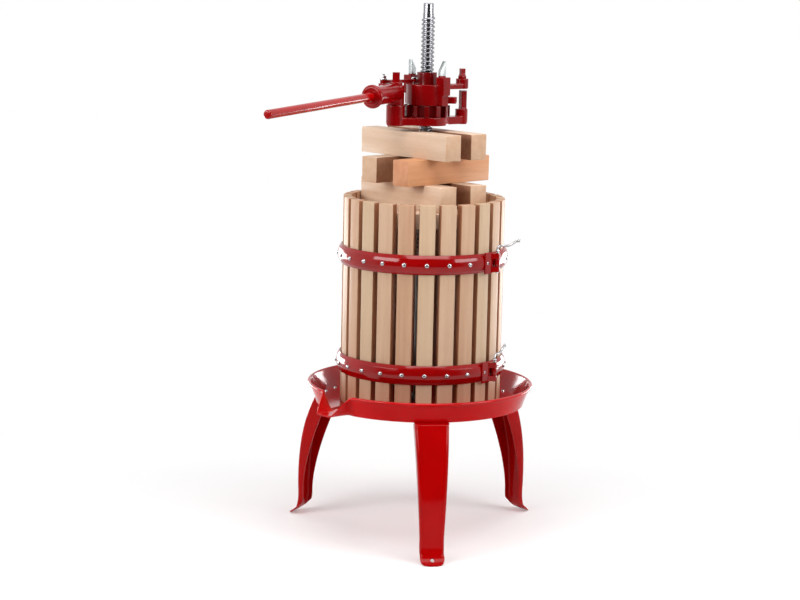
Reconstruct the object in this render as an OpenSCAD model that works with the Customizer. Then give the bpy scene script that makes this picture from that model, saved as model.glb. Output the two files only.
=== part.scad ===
// Grape press: a slatted basket on a three-legged tray, pressed by a ratchet head on a fixed screw.
// Millimetres. +Z is up, -Y is the front, and the origin is on the floor under the screw.
// An azimuth is counted from the front (-Y) towards the right (+X).

/* [Tray] */
// Radius of the flat tray floor
tray_floor_r = 248; // [244:1:256]
// Height of the tray floor's upper face
tray_floor_z = 319.7; // [300:0.1:330]
// Radius to the middle of the rolled rim
tray_rim_r = 266; // [262:1:280]
// Height of the middle of the rolled rim
tray_rim_z = 362; // [350:1:380]
// Radius of the roll
rim_roll_r = 4; // [3:0.5:6]
// Thickness of the pressed sheet
sheet_t = 3; // [2:0.5:4]
// Azimuth of the pouring spout
spout_az = -47; // [-52:1:-43]
// Half width of the spout where it leaves the tray
spout_half_w = 50; // [42:1:54]
// How far the spout's lip reaches from the screw
spout_tip_r = 303; // [295:1:315]
// Height of the lip at its tip
spout_tip_z = 319; // [318:1:328]

/* [Legs] */
// Azimuth of the front leg
front_leg_az = 6.8; // [0:0.1:12]
// Width of a leg at the tray
leg_top_w = 81; // [74:1:88]
// Width of a leg at the foot
leg_foot_w = 57; // [50:1:64]
// Radius to the leg's outer face at the tray
leg_top_r = 264; // [260:1:268]
// Radius to the leg's outer face above the foot
leg_shin_r = 312; // [308:1:316]
// Length of the foot in front of the shin
toe_l = 27; // [24:1:33]
// Distance of the hole in the foot from the toe
foot_hole_in = 16; // [14:1:18]
// Radius of the hole in the foot
foot_hole_r = 5; // [4:0.5:6]
// Thickness of the foot pad
pad_t = 4; // [3:0.5:5]
// Depth of the leg's side flanges at the tray
flange_top_d = 42; // [36:1:46]
// Radius to the bolts that hold a leg to the tray
leg_bolt_at = 239; // [237:1:240]
// Distance between a leg's two bolts
leg_bolt_gap = 50; // [40:1:56]
// Radius of those bolts
leg_bolt_r = 3; // [2.5:0.5:4]

/* [Screw] */
// Overall height of the press
total_h = 1270; // [1250:5:1300]
// Radius over the thread
screw_r = 16; // [15:0.5:17]
// Depth of the thread
thread_d = 3; // [2:0.25:3.5]
// Rise of the thread in one turn
lead = 10; // [8:1:12]
// Height where the thread begins
thread_z = 640; // [600:5:680]
// Length of the plain tip
tip_l = 24; // [15:1:35]
// Radius of the plain tip
tip_r = 12; // [10:0.5:12.5]
// Radius of the stud below the tray
stud_r = 12; // [10:0.5:14]
// Radius of the screw's foot flange
foot_flange_r = 28; // [24:1:32]

/* [Basket] */
// Azimuth of the slat beside the middle of the front
slat_az = 2.8; // [1:0.1:5]
// Width of a slat
slat_w = 37; // [34:1:39]
// Thickness of a slat
slat_t = 20; // [18:1:22]
// Radius to the slats' outer faces
slat_out_r = 192; // [190:1:193]
// Height of the slats' tops
slat_top_z = 813; // [790:1:830]
// Gap under the slats
slat_gap = 0.3; // [0.2:0.1:0.5]
// Chamfer along a slat
slat_chamfer = 1.5; // [1:0.5:3]
// Heights of the middles of the two hoops
upper_hoop_z = 675; // [650:1:700]
lower_hoop_z = 416; // [405:1:440]
// Height of a hoop
hoop_h = 45; // [40:1:50]
// Height of its raised web
web_h = 27; // [22:1:30]
// Radius to the outside of the web
web_r = 203; // [202:0.5:205]
// Thickness of the hoop's steel
hoop_t = 2.6; // [2:0.2:3]
// Angle left open between a hoop's end and the parting plane
hoop_end_a = 4.5; // [4:0.1:5.5]
// Radius of the screws in the slats
wood_screw_r = 2.5; // [2:0.25:3]
// Radius to the clasp pins
pin_at = 212; // [211:0.5:214]
// Radius of the clasp pins
pin_r = 3; // [2.5:0.25:3.25]
// Outer radius of the clasp knuckles
knuckle_r = 6; // [5.5:0.25:6.25]
// Half height of the middle knuckle
knuckle_mid = 9; // [7:0.5:10]
// Half height over all knuckles
knuckle_all = 22; // [20:1:24]

/* [Press blocks] */
// Radius of the half-moon plates
plate_r = 168; // [160:1:169]
// Thickness of the plates
plate_t = 35; // [28:1:40]
// Height of the plates' underside
plate_z = 755; // [740:1:770]
// Height of a block
block_h = 60; // [55:1:60]
// Width of a block
block_w = 49; // [45:1:50]
// Length of the blocks in the top and bottom layers
block_l = 297; // [280:1:298]
// Length of the blocks in the middle layer
mid_block_l = 278; // [260:1:290]
// Gap across the screw between the blocks of the middle layer
mid_block_gap = 54; // [46:1:58]
// Gap across the screw between the blocks of the bottom layer
low_block_gap = 43; // [36:1:50]
// Gap between a block of the top layer and the screw
block_gap = 0.3; // [0.2:0.1:1]

/* [Head] */
// Height of the head's underside
head_z = 984; // [982:1:990]
// Thickness of the thrust body's plate
thrust_t = 20; // [18:1:24]
// Radius of the thrust body's plate
thrust_r = 53; // [50:1:55]
// Radius of the ratchet wheel
wheel_r = 56; // [54:1:57]
// Thickness of the ratchet wheel
wheel_t = 26.7; // [24:0.1:28]
// Number of slots in the wheel
slot_n = 12; // [10:2:12]
// Radius of the pawl drum
drum_r = 48; // [46:1:49]
// Height of the pawl drum
drum_h = 48.7; // [46:0.1:50]
// Radius of the nut's hub
hub_r = 23.5; // [23:0.25:24]
// Height of the hub over the drum
hub_over = 28; // [24:1:32]
// Gap between the parts that turn on each other
run_gap = 0.3; // [0.2:0.05:0.4]
// Azimuth of the right pawl
pawl_az = 46; // [43:1:49]
// Width and depth of a pawl
pawl_w = 16; // [14:0.5:16.5]
pawl_d = 10; // [8:0.5:10.5]
// Radius to the inside of a pawl
pawl_in_r = 44; // [43.7:0.1:45]
// Height of a pawl's top
pawl_top_z = 1136; // [1130:1:1145]

/* [Lever] */
// Distance between the screw and the lever's pivot
pivot_at = 87; // [83:0.5:90]
// Azimuth of the lever's pivot
pivot_az = -56; // [-58:1:-54]
// Crank radius of the link at both its ends
crank_r = 34; // [34:0.25:34.5]
// Azimuth of both cranks at rest
crank_az = -116; // [-117:1:-115]
// Radius of the lever's hub
lever_hub_r = 20; // [18:1:21]
// Height of the lever's hub
lever_hub_h = 46; // [45:1:48]
// Azimuth of the handle at rest
handle_az = -26; // [-28:1:-24]
// Angle that the handle slopes down to its end
handle_drop = 1.5; // [0:0.25:2]
// Radius of the handle's socket
socket_r = 22; // [20:0.5:22]
// Distance from the pivot to the socket's bead
bead_at = 119; // [110:1:125]
// Radius of the bead
bead_r = 27.5; // [26:0.5:28]
// Radius of the handle bar
bar_r = 10; // [9:0.5:11]
// Distance from the pivot to the handle's end
handle_reach = 600; // [500:10:650]
// Depth of the bar in its socket
bar_in = 75; // [60:1:78]
// Radius of the pivot bolt
pivot_r = 8; // [7:0.5:9]
// Thickness of the link
link_t = 8; // [6:1:9]
// Width of the link
link_w = 9; // [8:0.5:9]

/* [Hidden] */
$fn = 48;
FRONT_SLATS = [for (i = [1:12]) str("front_slat_", i)];
REAR_SLATS = [for (i = [1:12]) str("rear_slat_", i)];

red = "firebrick";
beech = "burlywood";
zinc = "silver";

toe_r = leg_shin_r + toe_l;
foot_hole_at = toe_r - foot_hole_in;
tray_under_z = tray_floor_z - sheet_t;
slat_z = tray_floor_z + slat_gap;
slat_in_r = slat_out_r - slat_t;
slat_n = 24;
part_az = slat_az + 360 / slat_n * 3.5;
hoop_in_r = sqrt(pow(slat_out_r, 2) + pow(slat_w / 2, 2)) + 0.4;
flange_t = 12;
flange_z = tray_under_z - 0.3;
spout_half_a = asin(spout_half_w / (tray_floor_r + 10));
lip_flat = 0.38;
lip_narrow = 0.1;
wall_steps = [0, 0.2, 0.45, 0.7, 0.9, 1];
wall_cols = 66;
tray_hole_r = stud_r + 0.3;
thread_turns = floor((total_h - tip_l - thread_z) / lead) - 1;
thread_sides = 12;
thread_start = 1;
thread_marks = [[0, screw_r - thread_d], [2.4, screw_r], [5.2, screw_r], [7.6, screw_r - thread_d]];
block_z = plate_z + plate_t;
wheel_z = head_z + thrust_t + run_gap;
drum_z = wheel_z + wheel_t + run_gap;
drum_top_z = drum_z + drum_h;
hub_top_z = drum_top_z + hub_over;
screw_hole_r = screw_r + run_gap;
lever_z = drum_z + 1.7;
lever_top_z = lever_z + lever_hub_h;
bar_z = lever_z + lever_hub_h / 2 + 5;
bar_start = bead_at + 8 - bar_in;
link_z = drum_top_z + 1.5;
link_top_z = link_z + link_t;
bolt_collar_r = 15;
link_pin_r = 3.5;
link_eye_r = 7.5;
ear_az = 118;
ear_at = 95;
ear_r = 15;
ear_bolt_r = 5;
ear_bolt_in = 19;
ear_z = drum_top_z - 12;
ear_h = 24;
box_w = 24;
box_in_r = 41.5;
box_out_r = 66;
box_foot_r = 61;
box_z = drum_z + 24.7;
box_top_z = drum_top_z + 19;
pawl_z = drum_z + 1.2;

// Local +X points outwards at an azimuth
module facing(az) {
    rotate([0, 0, az - 90]) children();
}

// The same place measured from the lever's pivot
module at_pivot() {
    facing(pivot_az) translate([pivot_at, 0, 0]) rotate([0, 0, 90 - pivot_az]) children();
}

// Points of a curve with four handles
function bend(a, b, c, d, n) = [
    for (i = [0:n])
        let (t = i / n, s = 1 - t)
            s * s * s * a + 3 * s * s * t * b + 3 * s * t * t * c + t * t * t * d
];

// Web that joins two discs and is a little narrower than they are
waist = 0.9;

module arm_web(l, r1, r2) {
    polygon([[0, waist * r1], [l, waist * r2], [l, -waist * r2], [0, -waist * r1]]);
}

// Hexagon nut without its thread
module hex_nut(r, h) {
    cylinder(r = r, h = h, $fn = 6);
}

// Tray: one pressed sheet with a rolled rim, drawn out into a pouring spout
function smooth(t) = t * t * (3 - 2 * t);

// How far an angle from the spout's middle is from the lip: 0 along the lip, 1 on the plain wall
function lip_share(a) = smooth(min(1, max(0, (abs(a) / spout_half_a - lip_flat) / (1 - lip_flat))));

// Point of the wall or spout: u runs from the floor to the rim, and skin is the distance from mid sheet
function wall_point(a, u, skin) =
    let (
        k = lip_share(a),
        mid_z = tray_under_z + sheet_t / 2,
        wall_r = tray_floor_r + u * (tray_rim_r - sheet_t / 2 - tray_floor_r),
        wall_z = mid_z + u * (tray_rim_z - mid_z),
        lip_r = tray_floor_r + u * (spout_tip_r - tray_floor_r),
        lip_z = mid_z + u * u * (spout_tip_z - mid_z),
        floor_share = 1 - k * min(1, u * 5)
    )
    [
        lip_r + (wall_r - lip_r) * k + skin * k,
        lip_z + (wall_z - lip_z) * k - skin * floor_share,
        a * (1 - lip_narrow * u * (1 - k))
    ];

function tray_section(a) =
    let (
        half = sheet_t / 2,
        k = lip_share(a),
        rim = wall_point(a, 1, 0),
        roll = rim_roll_r * (0.45 + 0.55 * k)
    )
    concat(
        [[tray_hole_r, tray_under_z, a]],
        [for (u = wall_steps) if (u < 1) wall_point(a, u, half)],
        [
            for (t = [-110, -55, 0, 55, 110, 165])
                [rim[0] + 2.5 * k + roll * cos(t), rim[1] + roll * sin(t), rim[2]]
        ],
        [for (i = [len(wall_steps) - 2:-1:0]) wall_point(a, wall_steps[i], -half)],
        [[tray_hole_r, tray_floor_z, a]]
    );

module tray_shell() {
    angles = concat(
        [for (i = [-6:6]) spout_half_a * i / 6],
        [for (j = [1:wall_cols - 1]) spout_half_a + (360 - 2 * spout_half_a) * j / wall_cols]
    );
    cols = len(angles);
    rows = len(tray_section(0));
    points = [
        for (a = angles) for (p = tray_section(a > 180 ? a - 360 : a))
            [p[0] * cos(p[2]), p[0] * sin(p[2]), p[1]]
    ];
    faces = [
        for (i = [0:cols - 1]) for (j = [0:rows - 1])
            let (
                n = (i + 1) % cols, m = (j + 1) % rows,
                a = i * rows + j, b = n * rows + j, c = n * rows + m, d = i * rows + m
            )
            for (f = [[a, d, b], [b, d, c]]) f
    ];
    polyhedron(points = points, faces = faces, convexity = 6);
}

module tray() {
    color(red) difference() {
        facing(spout_az) tray_shell();
        leg_bolt_places() translate([0, 0, tray_under_z - 1])
            cylinder(r = leg_bolt_r + 0.3, h = sheet_t + 2);
    }
}

// Legs: channels pressed from sheet, flanges inwards, with a flat foot
function leg_az(i) = front_leg_az + 120 * i;
shin_z = 60;
leg_rise = flange_z - shin_z;
leg_run = leg_shin_r - leg_top_r;

function leg_curve(off) = bend(
    [leg_top_r - off, flange_z], [leg_top_r + 0.75 * leg_run - off, shin_z + 0.7 * leg_rise],
    [leg_shin_r + 2 - off, shin_z + 0.39 * leg_rise], [leg_shin_r - off, shin_z], 10
);

module leg_bolt_places() {
    for (i = [0:2]) for (s = [-1, 1])
        facing(leg_az(i)) translate([leg_bolt_at, s * leg_bolt_gap / 2, 0]) children();
}

// Width of the leg over its height, cut from the front
module leg_front_outline(off) {
    top_w = leg_top_w / 2 - off;
    foot_w = leg_foot_w / 2 - off;
    rotate([90, 0, 90]) linear_extrude(toe_r + 10) polygon([
        [-foot_w, -1], [foot_w, -1], [foot_w, shin_z], [top_w, flange_z + 1],
        [-top_w, flange_z + 1], [-foot_w, shin_z]
    ]);
}

// Outline of the leg from above, with a round toe
module leg_plan() {
    corner = 20;
    x0 = 180;
    linear_extrude(flange_z + 5) {
        translate([x0, -leg_top_w / 2]) square([leg_shin_r + 4 - x0, leg_top_w]);
        translate([x0, corner - leg_foot_w / 2]) square([toe_r - x0, leg_foot_w - 2 * corner]);
        translate([x0, -leg_foot_w / 2]) square([toe_r - corner - x0, leg_foot_w]);
        for (s = [-1, 1])
            translate([toe_r - corner, s * (leg_foot_w / 2 - corner)]) circle(r = corner);
    }
}

module leg(az) {
    pad_r = leg_shin_r + 6;
    web = leg_curve(0);
    flare = bend(
        [leg_shin_r, 40], [leg_shin_r - 0.5, 12], [leg_shin_r - 1, pad_t], [pad_r, pad_t], 8
    );
    under = bend(
        [pad_r - 3, 0], [leg_shin_r - 5, 0],
        [leg_shin_r - sheet_t, 10], [leg_shin_r - sheet_t, 30], 8
    );
    edge = bend(
        [leg_shin_r - 15, 46], [leg_shin_r - 28, shin_z + 0.31 * leg_rise],
        [leg_top_r - 12, shin_z + 0.66 * leg_rise], [leg_top_r - flange_top_d, flange_z], 10
    );
    inner = [for (p = leg_curve(sheet_t)) [p[0], min(p[1], flange_z - sheet_t)]];
    inner_foot = [[leg_shin_r - sheet_t, 30], [leg_shin_r - sheet_t, -1]];
    inner_side = [[150, -1], [150, flange_z - sheet_t]];
    color(red) facing(az) difference() {
        intersection() {
            rotate([90, 0, 0]) linear_extrude(200, center = true)
                polygon(concat(web, flare, [[toe_r, pad_t], [toe_r, 0]], under, edge));
            leg_front_outline(0);
            leg_plan();
        }
        intersection() {
            rotate([90, 0, 0]) linear_extrude(200, center = true)
                polygon(concat(inner, inner_foot, inner_side));
            leg_front_outline(sheet_t);
        }
        translate([foot_hole_at, 0, -1]) cylinder(r = foot_hole_r, h = pad_t + 2);
        for (s = [-1, 1])
            translate([leg_bolt_at, s * leg_bolt_gap / 2, flange_z - sheet_t - 2])
                cylinder(r = leg_bolt_r + 0.3, h = sheet_t + 4);
    }
}

module leg_bolts() {
    nut_h = 5;
    head_h = 3;
    color(zinc) leg_bolt_places() {
        translate([0, 0, flange_z - sheet_t - nut_h - 4])
            cylinder(r = leg_bolt_r, h = tray_floor_z - flange_z + sheet_t + nut_h + 5);
        translate([0, 0, tray_floor_z]) cylinder(r1 = 5.5, r2 = 3.5, h = head_h);
        translate([0, 0, flange_z - sheet_t - nut_h]) hex_nut(5.5, nut_h);
    }
}

// Screw: a plain shank, a thread made as one surface, and a plain tip
function thread_column(j) = concat(
    [[0, screw_r - thread_d]],
    [
        for (k = [0:thread_turns - 1]) for (m = thread_marks)
            [thread_start + lead * (k + j / thread_sides) + m[0] * lead / 10, m[1]]
    ],
    [[total_h - tip_l - thread_z, screw_r - thread_d]]
);

module thread() {
    rows = 4 * thread_turns + 2;
    last = rows - 1;
    far = (thread_sides - 1) * rows;
    points = [
        for (j = [0:thread_sides - 1]) for (p = thread_column(j))
            [p[1] * cos(360 * j / thread_sides), p[1] * sin(360 * j / thread_sides), p[0]]
    ];
    walls = [
        for (j = [0:thread_sides - 2]) for (m = [0:rows - 2])
            let (a = j * rows + m, b = a + rows)
            for (f = [[a, a + 1, b], [b, a + 1, b + 1]]) f
    ];
    seam = [
        for (m = [1:rows - 7])
            for (f = [[far + m, far + m + 1, m + 4], [m + 4, far + m + 1, m + 5]]) f
    ];
    seam_foot = concat([for (k = [0:4]) [far, k + 1, k]], [[far, far + 1, 5]]);
    seam_head = concat(
        [[far + last - 5, last, last - 1]],
        [for (k = [last - 5:last - 1]) [far + k, far + k + 1, last]]
    );
    caps = [
        [for (j = [0:thread_sides - 1]) j * rows],
        [for (j = [thread_sides - 1:-1:0]) j * rows + last]
    ];
    polyhedron(points = points, faces = concat(walls, seam, seam_foot, seam_head, caps), convexity = 10);
}

module screw() {
    stud_z = tray_under_z - 28;
    color(zinc) union() {
        translate([0, 0, stud_z]) cylinder(r = stud_r, h = tray_floor_z - stud_z + 1);
        translate([0, 0, tray_floor_z]) cylinder(r = foot_flange_r, h = flange_t);
        translate([0, 0, tray_floor_z + flange_t - 1])
            cylinder(r = screw_r, h = thread_z - tray_floor_z - flange_t + 1.5);
        translate([0, 0, thread_z]) thread();
        translate([0, 0, total_h - tip_l - 1]) cylinder(r = tip_r, h = tip_l);
        translate([0, 0, total_h - 1]) cylinder(r1 = tip_r, r2 = tip_r - 1, h = 1);
    }
}

module screw_lock_nut() {
    washer_t = 4;
    nut_h = 18;
    color(zinc) difference() {
        union() {
            translate([0, 0, tray_under_z - washer_t]) cylinder(r = foot_flange_r, h = washer_t);
            translate([0, 0, tray_under_z - washer_t - nut_h]) hex_nut(21, nut_h + 0.5);
        }
        translate([0, 0, tray_under_z - 40]) cylinder(r = stud_r + 0.05, h = 41);
    }
}

// Basket
hoop_heights = [upper_hoop_z, lower_hoop_z];
head_r = 5;

module wood_screw_holes(az, r, in_r, out_r) {
    for (z = hoop_heights)
        facing(az) translate([in_r, 0, z]) rotate([0, 90, 0])
            cylinder(r = r, h = out_r - in_r, $fn = 24);
}

module slat(az) {
    c = slat_chamfer;
    w = slat_w / 2;
    h = slat_top_z - slat_z;
    color(beech) difference() {
        facing(az) translate([0, 0, slat_z]) intersection() {
            linear_extrude(h) polygon([
                [slat_in_r, c - w], [slat_in_r + c, -w], [slat_out_r - c, -w], [slat_out_r, c - w],
                [slat_out_r, w - c], [slat_out_r - c, w], [slat_in_r + c, w], [slat_in_r, w - c]
            ]);
            rotate([90, 0, 0]) linear_extrude(slat_w + 2, center = true) polygon([
                [slat_in_r - 1, 0], [slat_out_r + 1, 0], [slat_out_r + 1, h - 3 - 1],
                [slat_out_r - 3, h], [slat_in_r + 3, h], [slat_in_r - 1, h - 3 - 1]
            ]);
        }
        wood_screw_holes(az, wood_screw_r + 0.05, slat_out_r - 14, slat_out_r + 2);
    }
}

// Half of a hoop: side is 1 at the front and -1 at the rear
function half_start(side) = side > 0 ? part_az - 180 : part_az;
function slat_place(side, i) = half_start(side) + 360 / slat_n * (i + 0.5);

module hoop_half(side, z) {
    top = hoop_h / 2;
    mid = web_h / 2;
    lip_r = hoop_in_r + 2.5;
    start = half_start(side);
    color(red) difference() {
        union() {
            facing(start + hoop_end_a) translate([0, 0, z])
                rotate_extrude(angle = 180 - 2 * hoop_end_a, $fn = 144) polygon([
                    [hoop_in_r, top], [lip_r, top], [web_r, mid],
                    [web_r, -mid], [lip_r, -top], [hoop_in_r, -top],
                    [hoop_in_r, 2 - top], [web_r - hoop_t, 1 - mid],
                    [web_r - hoop_t, mid - 1], [hoop_in_r, top - 2]
                ]);
            clasp_end(start, 1, side, z);
            clasp_end(start + 180, -1, side, z);
        }
        for (i = [0:11])
            wood_screw_holes(slat_place(side, i), wood_screw_r + 0.1, web_r - 5, web_r + 2);
        for (i = [0, 11])
            wood_screw_holes(slat_place(side, i), head_r + 0.6, web_r + 0.02, web_r + 10);
        for (az = [start, start + 180])
            facing(az) translate([pin_at, 0, z - knuckle_all - 5])
                cylinder(r = pin_r + 0.1, h = 2 * knuckle_all + 10);
    }
}

// Strap and knuckles at a hoop's end: the front half has the outer pair, the rear half the middle one
module clasp_end(az, dir, side, z) {
    strap_a = 7;
    strap_t = 3;
    arm_l = 17;
    strap_h = side > 0 ? 2 * knuckle_all + 2 * strap_t : 2 * knuckle_mid;
    outer = [[knuckle_mid + run_gap, knuckle_all], [-knuckle_all, -knuckle_mid - run_gap]];
    spans = side > 0 ? outer : [[-knuckle_mid, knuckle_mid]];
    from = dir > 0 ? az + hoop_end_a - 1.5 : az - hoop_end_a - strap_a + 1.5;
    facing(from) translate([0, 0, z - strap_h / 2])
        rotate_extrude(angle = strap_a, $fn = 144)
            translate([web_r - 1, 0]) square([strap_t + 1, strap_h]);
    for (s = spans) facing(az) translate([0, 0, z + s[0]]) linear_extrude(s[1] - s[0]) {
        translate([pin_at, 0]) circle(r = knuckle_r);
        polygon([
            [web_r, dir * arm_l], [web_r + strap_t - 0.2, dir * arm_l],
            [pin_at + knuckle_r * 0.7, dir * 4.2], [pin_at - knuckle_r * 0.7, dir * 3]
        ]);
    }
}

module hoop_screws(side) {
    color(zinc) for (i = [0:11]) for (z = hoop_heights)
        facing(slat_place(side, i)) translate([0, 0, z]) rotate([0, 90, 0]) {
            translate([0, 0, slat_out_r - 13])
                cylinder(r = wood_screw_r, h = web_r - slat_out_r + 14, $fn = 24);
            translate([0, 0, web_r + 0.1]) cylinder(r = head_r, h = 1.6, $fn = 24);
            translate([0, 0, web_r + 1.7]) cylinder(r1 = head_r, r2 = head_r - 2, h = 2, $fn = 24);
        }
}

// Clasp pin: a straight rod with a wavy grip bent out of its top
grip = [
    [0, 0, 24], [0, 0, 33], [3, 0, 38], [9, 0, 40], [18, 0, 40],
    [28, 0, 42], [38, 0, 47], [48, 0, 54], [52, 0, 55], [55, 0, 53]
];
grip_r = 2.5;

module grip_rod(path, r) {
    n = len(path);
    sides = 8;
    function along(i) =
        let (a = path[max(0, i - 1)], b = path[min(n - 1, i + 1)], d = b - a)
            d / norm(d);
    points = [
        for (i = [0:n - 1])
            let (d = along(i), up = [-d[2], 0, d[0]])
            for (k = [0:sides - 1])
                path[i] + r * (up * cos(360 * k / sides) + [0, 1, 0] * sin(360 * k / sides))
    ];
    faces = concat(
        [
            for (i = [0:n - 2]) for (k = [0:sides - 1])
                let (a = i * sides + k, b = i * sides + (k + 1) % sides)
                for (f = [[a, b, a + sides], [b, b + sides, a + sides]]) f
        ],
        [[for (k = [sides - 1:-1:0]) k], [for (k = [0:sides - 1]) (n - 1) * sides + k]]
    );
    polyhedron(points = points, faces = faces);
}

module clasp_pin(az, turn, z) {
    color(zinc) facing(az) translate([pin_at, 0, z]) {
        translate([0, 0, -knuckle_all - 3]) cylinder(r = pin_r, h = knuckle_all + 3 + 28);
        translate([0, 0, knuckle_all + 0.3]) cylinder(r = pin_r + 1.2, h = 2);
        rotate([0, 0, turn]) grip_rod(grip, grip_r);
    }
}

// Press plates and blocks
plate_turn = -47.5;

module press_plate(side) {
    color(beech) translate([0, 0, plate_z]) rotate([0, 0, plate_turn]) difference() {
        cylinder(r = plate_r, h = plate_t, $fn = 120);
        translate([-plate_r - 1, side > 0 ? -1 : -plate_r - 1, -1])
            cube([2 * plate_r + 2, plate_r + 2, plate_t + 2]);
        translate([0, 0, -1]) cylinder(r = screw_r + 1, h = plate_t + 2);
    }
}

// Each layer of blocks from below: its direction, the gap across the screw, the shift and the length
layers = [
    [-50, low_block_gap, -6, block_l],
    [46, mid_block_gap, 4, mid_block_l],
    [-47.5, 2 * (screw_r + block_gap), -8, block_l]
];

// A block beside the screw: side is 1 behind the screw and -1 in front of it
module block(layer, side) {
    c = 1.2;
    gap = layers[layer][1];
    l = layers[layer][3];
    y = side > 0 ? gap / 2 : -gap / 2 - block_w;
    color(beech) translate([0, 0, block_z + layer * block_h]) rotate([0, 0, layers[layer][0]])
        translate([layers[layer][2] - l / 2, y, 0]) intersection() {
            rotate([90, 0, 90]) linear_extrude(l) polygon([
                [c, 0], [block_w - c, 0], [block_w, c], [block_w, block_h - c],
                [block_w - c, block_h], [c, block_h], [0, block_h - c], [0, c]
            ]);
            linear_extrude(block_h) polygon([
                [c, 0], [l - c, 0], [l, c], [l, block_w - c],
                [l - c, block_w], [c, block_w], [0, block_w - c], [0, c]
            ]);
        }
}

// Thrust body: the plate that presses, with the lever's boss and a horn opposite
module thrust_body() {
    boss_r = 22;
    web_in = 1;
    horn_h = 36;
    post_h = 80;
    color(red) difference() {
        union() {
            translate([0, 0, head_z]) cylinder(r = thrust_r, h = thrust_t, $fn = 96);
            translate([0, 0, head_z + web_in]) {
                facing(pivot_az) linear_extrude(thrust_t - 2 * web_in)
                    arm_web(pivot_at, 46, boss_r);
                facing(ear_az) linear_extrude(thrust_t - 2 * web_in)
                    arm_web(ear_at, 38, ear_r);
            }
            facing(pivot_az) translate([pivot_at, 0, head_z])
                cylinder(r = boss_r, h = lever_z - run_gap - head_z);
            facing(ear_az) translate([ear_at, 0, head_z]) {
                cylinder(r = ear_r, h = horn_h);
                translate([-4, -8, horn_h - 1]) cube([14, 16, post_h - horn_h + 1]);
            }
        }
        translate([0, 0, head_z - 1]) cylinder(r = screw_hole_r + 0.7, h = thrust_t + 2);
        facing(pivot_az) translate([pivot_at, 0, head_z + 6]) cylinder(r = pivot_r + 0.08, h = 80);
        for (a = [pivot_az, ear_az]) facing(a) translate([thrust_r - 6, 0, head_z - 1])
            cylinder(r = 9, h = 9);
    }
}

module thrust_washer() {
    color("darkgoldenrod") translate([0, 0, head_z + thrust_t]) difference() {
        cylinder(r = 30, h = 3);
        translate([0, 0, -1]) cylinder(r = screw_hole_r + 1, h = 5);
    }
}

// Nut with the slotted ratchet wheel and the hub that the drum turns on
module ratchet_nut() {
    slot_w = pawl_w + 1;
    color(red) difference() {
        union() {
            translate([0, 0, wheel_z]) cylinder(r = wheel_r, h = wheel_t, $fn = 96);
            translate([0, 0, wheel_z]) cylinder(r = hub_r, h = hub_top_z - wheel_z, $fn = 72);
        }
        translate([0, 0, wheel_z - 1]) cylinder(r = screw_hole_r, h = hub_top_z - wheel_z + 2);
        translate([0, 0, wheel_z - 1]) cylinder(r = 31, h = 4);
        for (i = [0:slot_n - 1])
            facing(pawl_az + 360 / slot_n * i) translate([pawl_in_r - 1, -slot_w / 2, wheel_z - 1])
                cube([wheel_r, slot_w, wheel_t + 2]);
    }
}

// Drum that carries both pawls and is turned by the link
module pawl_ring() {
    way_w = pawl_w + 2 * run_gap;
    way_d = pawl_d + 2 * run_gap;
    lobe_az = 75;
    lobe_at = 64;
    color(red) difference() {
        union() {
            translate([0, 0, drum_z]) cylinder(r = drum_r, h = drum_h, $fn = 96);
            for (a = [pawl_az, pawl_az + 180]) facing(a) {
                translate([box_in_r, -box_w / 2, box_z])
                    cube([box_out_r - box_in_r, box_w, box_top_z - box_z]);
                translate([box_in_r - 8, 1 - box_w / 2, drum_z])
                    cube([box_foot_r - box_in_r + 8, box_w - 2, box_z - drum_z + 1]);
            }
            facing(ear_az) translate([0, 0, ear_z]) {
                linear_extrude(12) arm_web(ear_at, 30, ear_r);
                translate([ear_at, 0, 0]) cylinder(r = ear_r, h = ear_h);
            }
            facing(lobe_az) translate([0, 0, drum_z + 5]) {
                linear_extrude(16) arm_web(lobe_at, 40, 10);
                translate([lobe_at, 0, 0]) cylinder(r = 10, h = 16);
            }
        }
        translate([0, 0, drum_z - 1]) cylinder(r = hub_r + run_gap, h = box_top_z, $fn = 72);
        for (a = [pawl_az, pawl_az + 180])
            facing(a) translate([pawl_in_r - run_gap, -way_w / 2, drum_z - 1])
                cube([way_d, way_w, box_top_z - drum_z + 2]);
        facing(crank_az) translate([crank_r, 0, drum_top_z - 16])
            cylinder(r = link_pin_r + 0.05, h = 20);
        facing(ear_az) translate([ear_at, 0, ear_z + 4])
            cylinder(r = ear_bolt_r + 0.05, h = ear_h);
    }
}

module ring_bolts() {
    color(red) facing(ear_az) translate([ear_at, 0, ear_z + ear_h]) {
        translate([0, 0, -ear_bolt_in]) cylinder(r = ear_bolt_r, h = ear_bolt_in + 1);
        hex_nut(11, 7);
        translate([0, 0, 7]) cylinder(r = 8, h = 3);
        translate([-5.5, -5.5, 9]) cube([11, 11, 15]);
    }
    color(zinc) facing(crank_az) translate([crank_r, 0, drum_top_z]) {
        translate([0, 0, -15]) cylinder(r = link_pin_r, h = link_top_z - drum_top_z + 15.5);
        translate([0, 0, link_top_z - drum_top_z + 0.3]) cylinder(r = 6.5, h = 5);
    }
}

// Pawl: a flat bar, bevelled at its foot and cut on the slant at its top
module pawl(az) {
    w = pawl_w / 2;
    slant = 22;
    color(zinc) facing(az) translate([pawl_in_r, 0, 0])
        rotate([90, 0, 90]) linear_extrude(pawl_d) polygon([
            [-w, pawl_z], [w - 10, pawl_z], [w, pawl_z + 10],
            [w, pawl_top_z], [w - 2, pawl_top_z], [-w, pawl_top_z - slant]
        ]);
}

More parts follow.
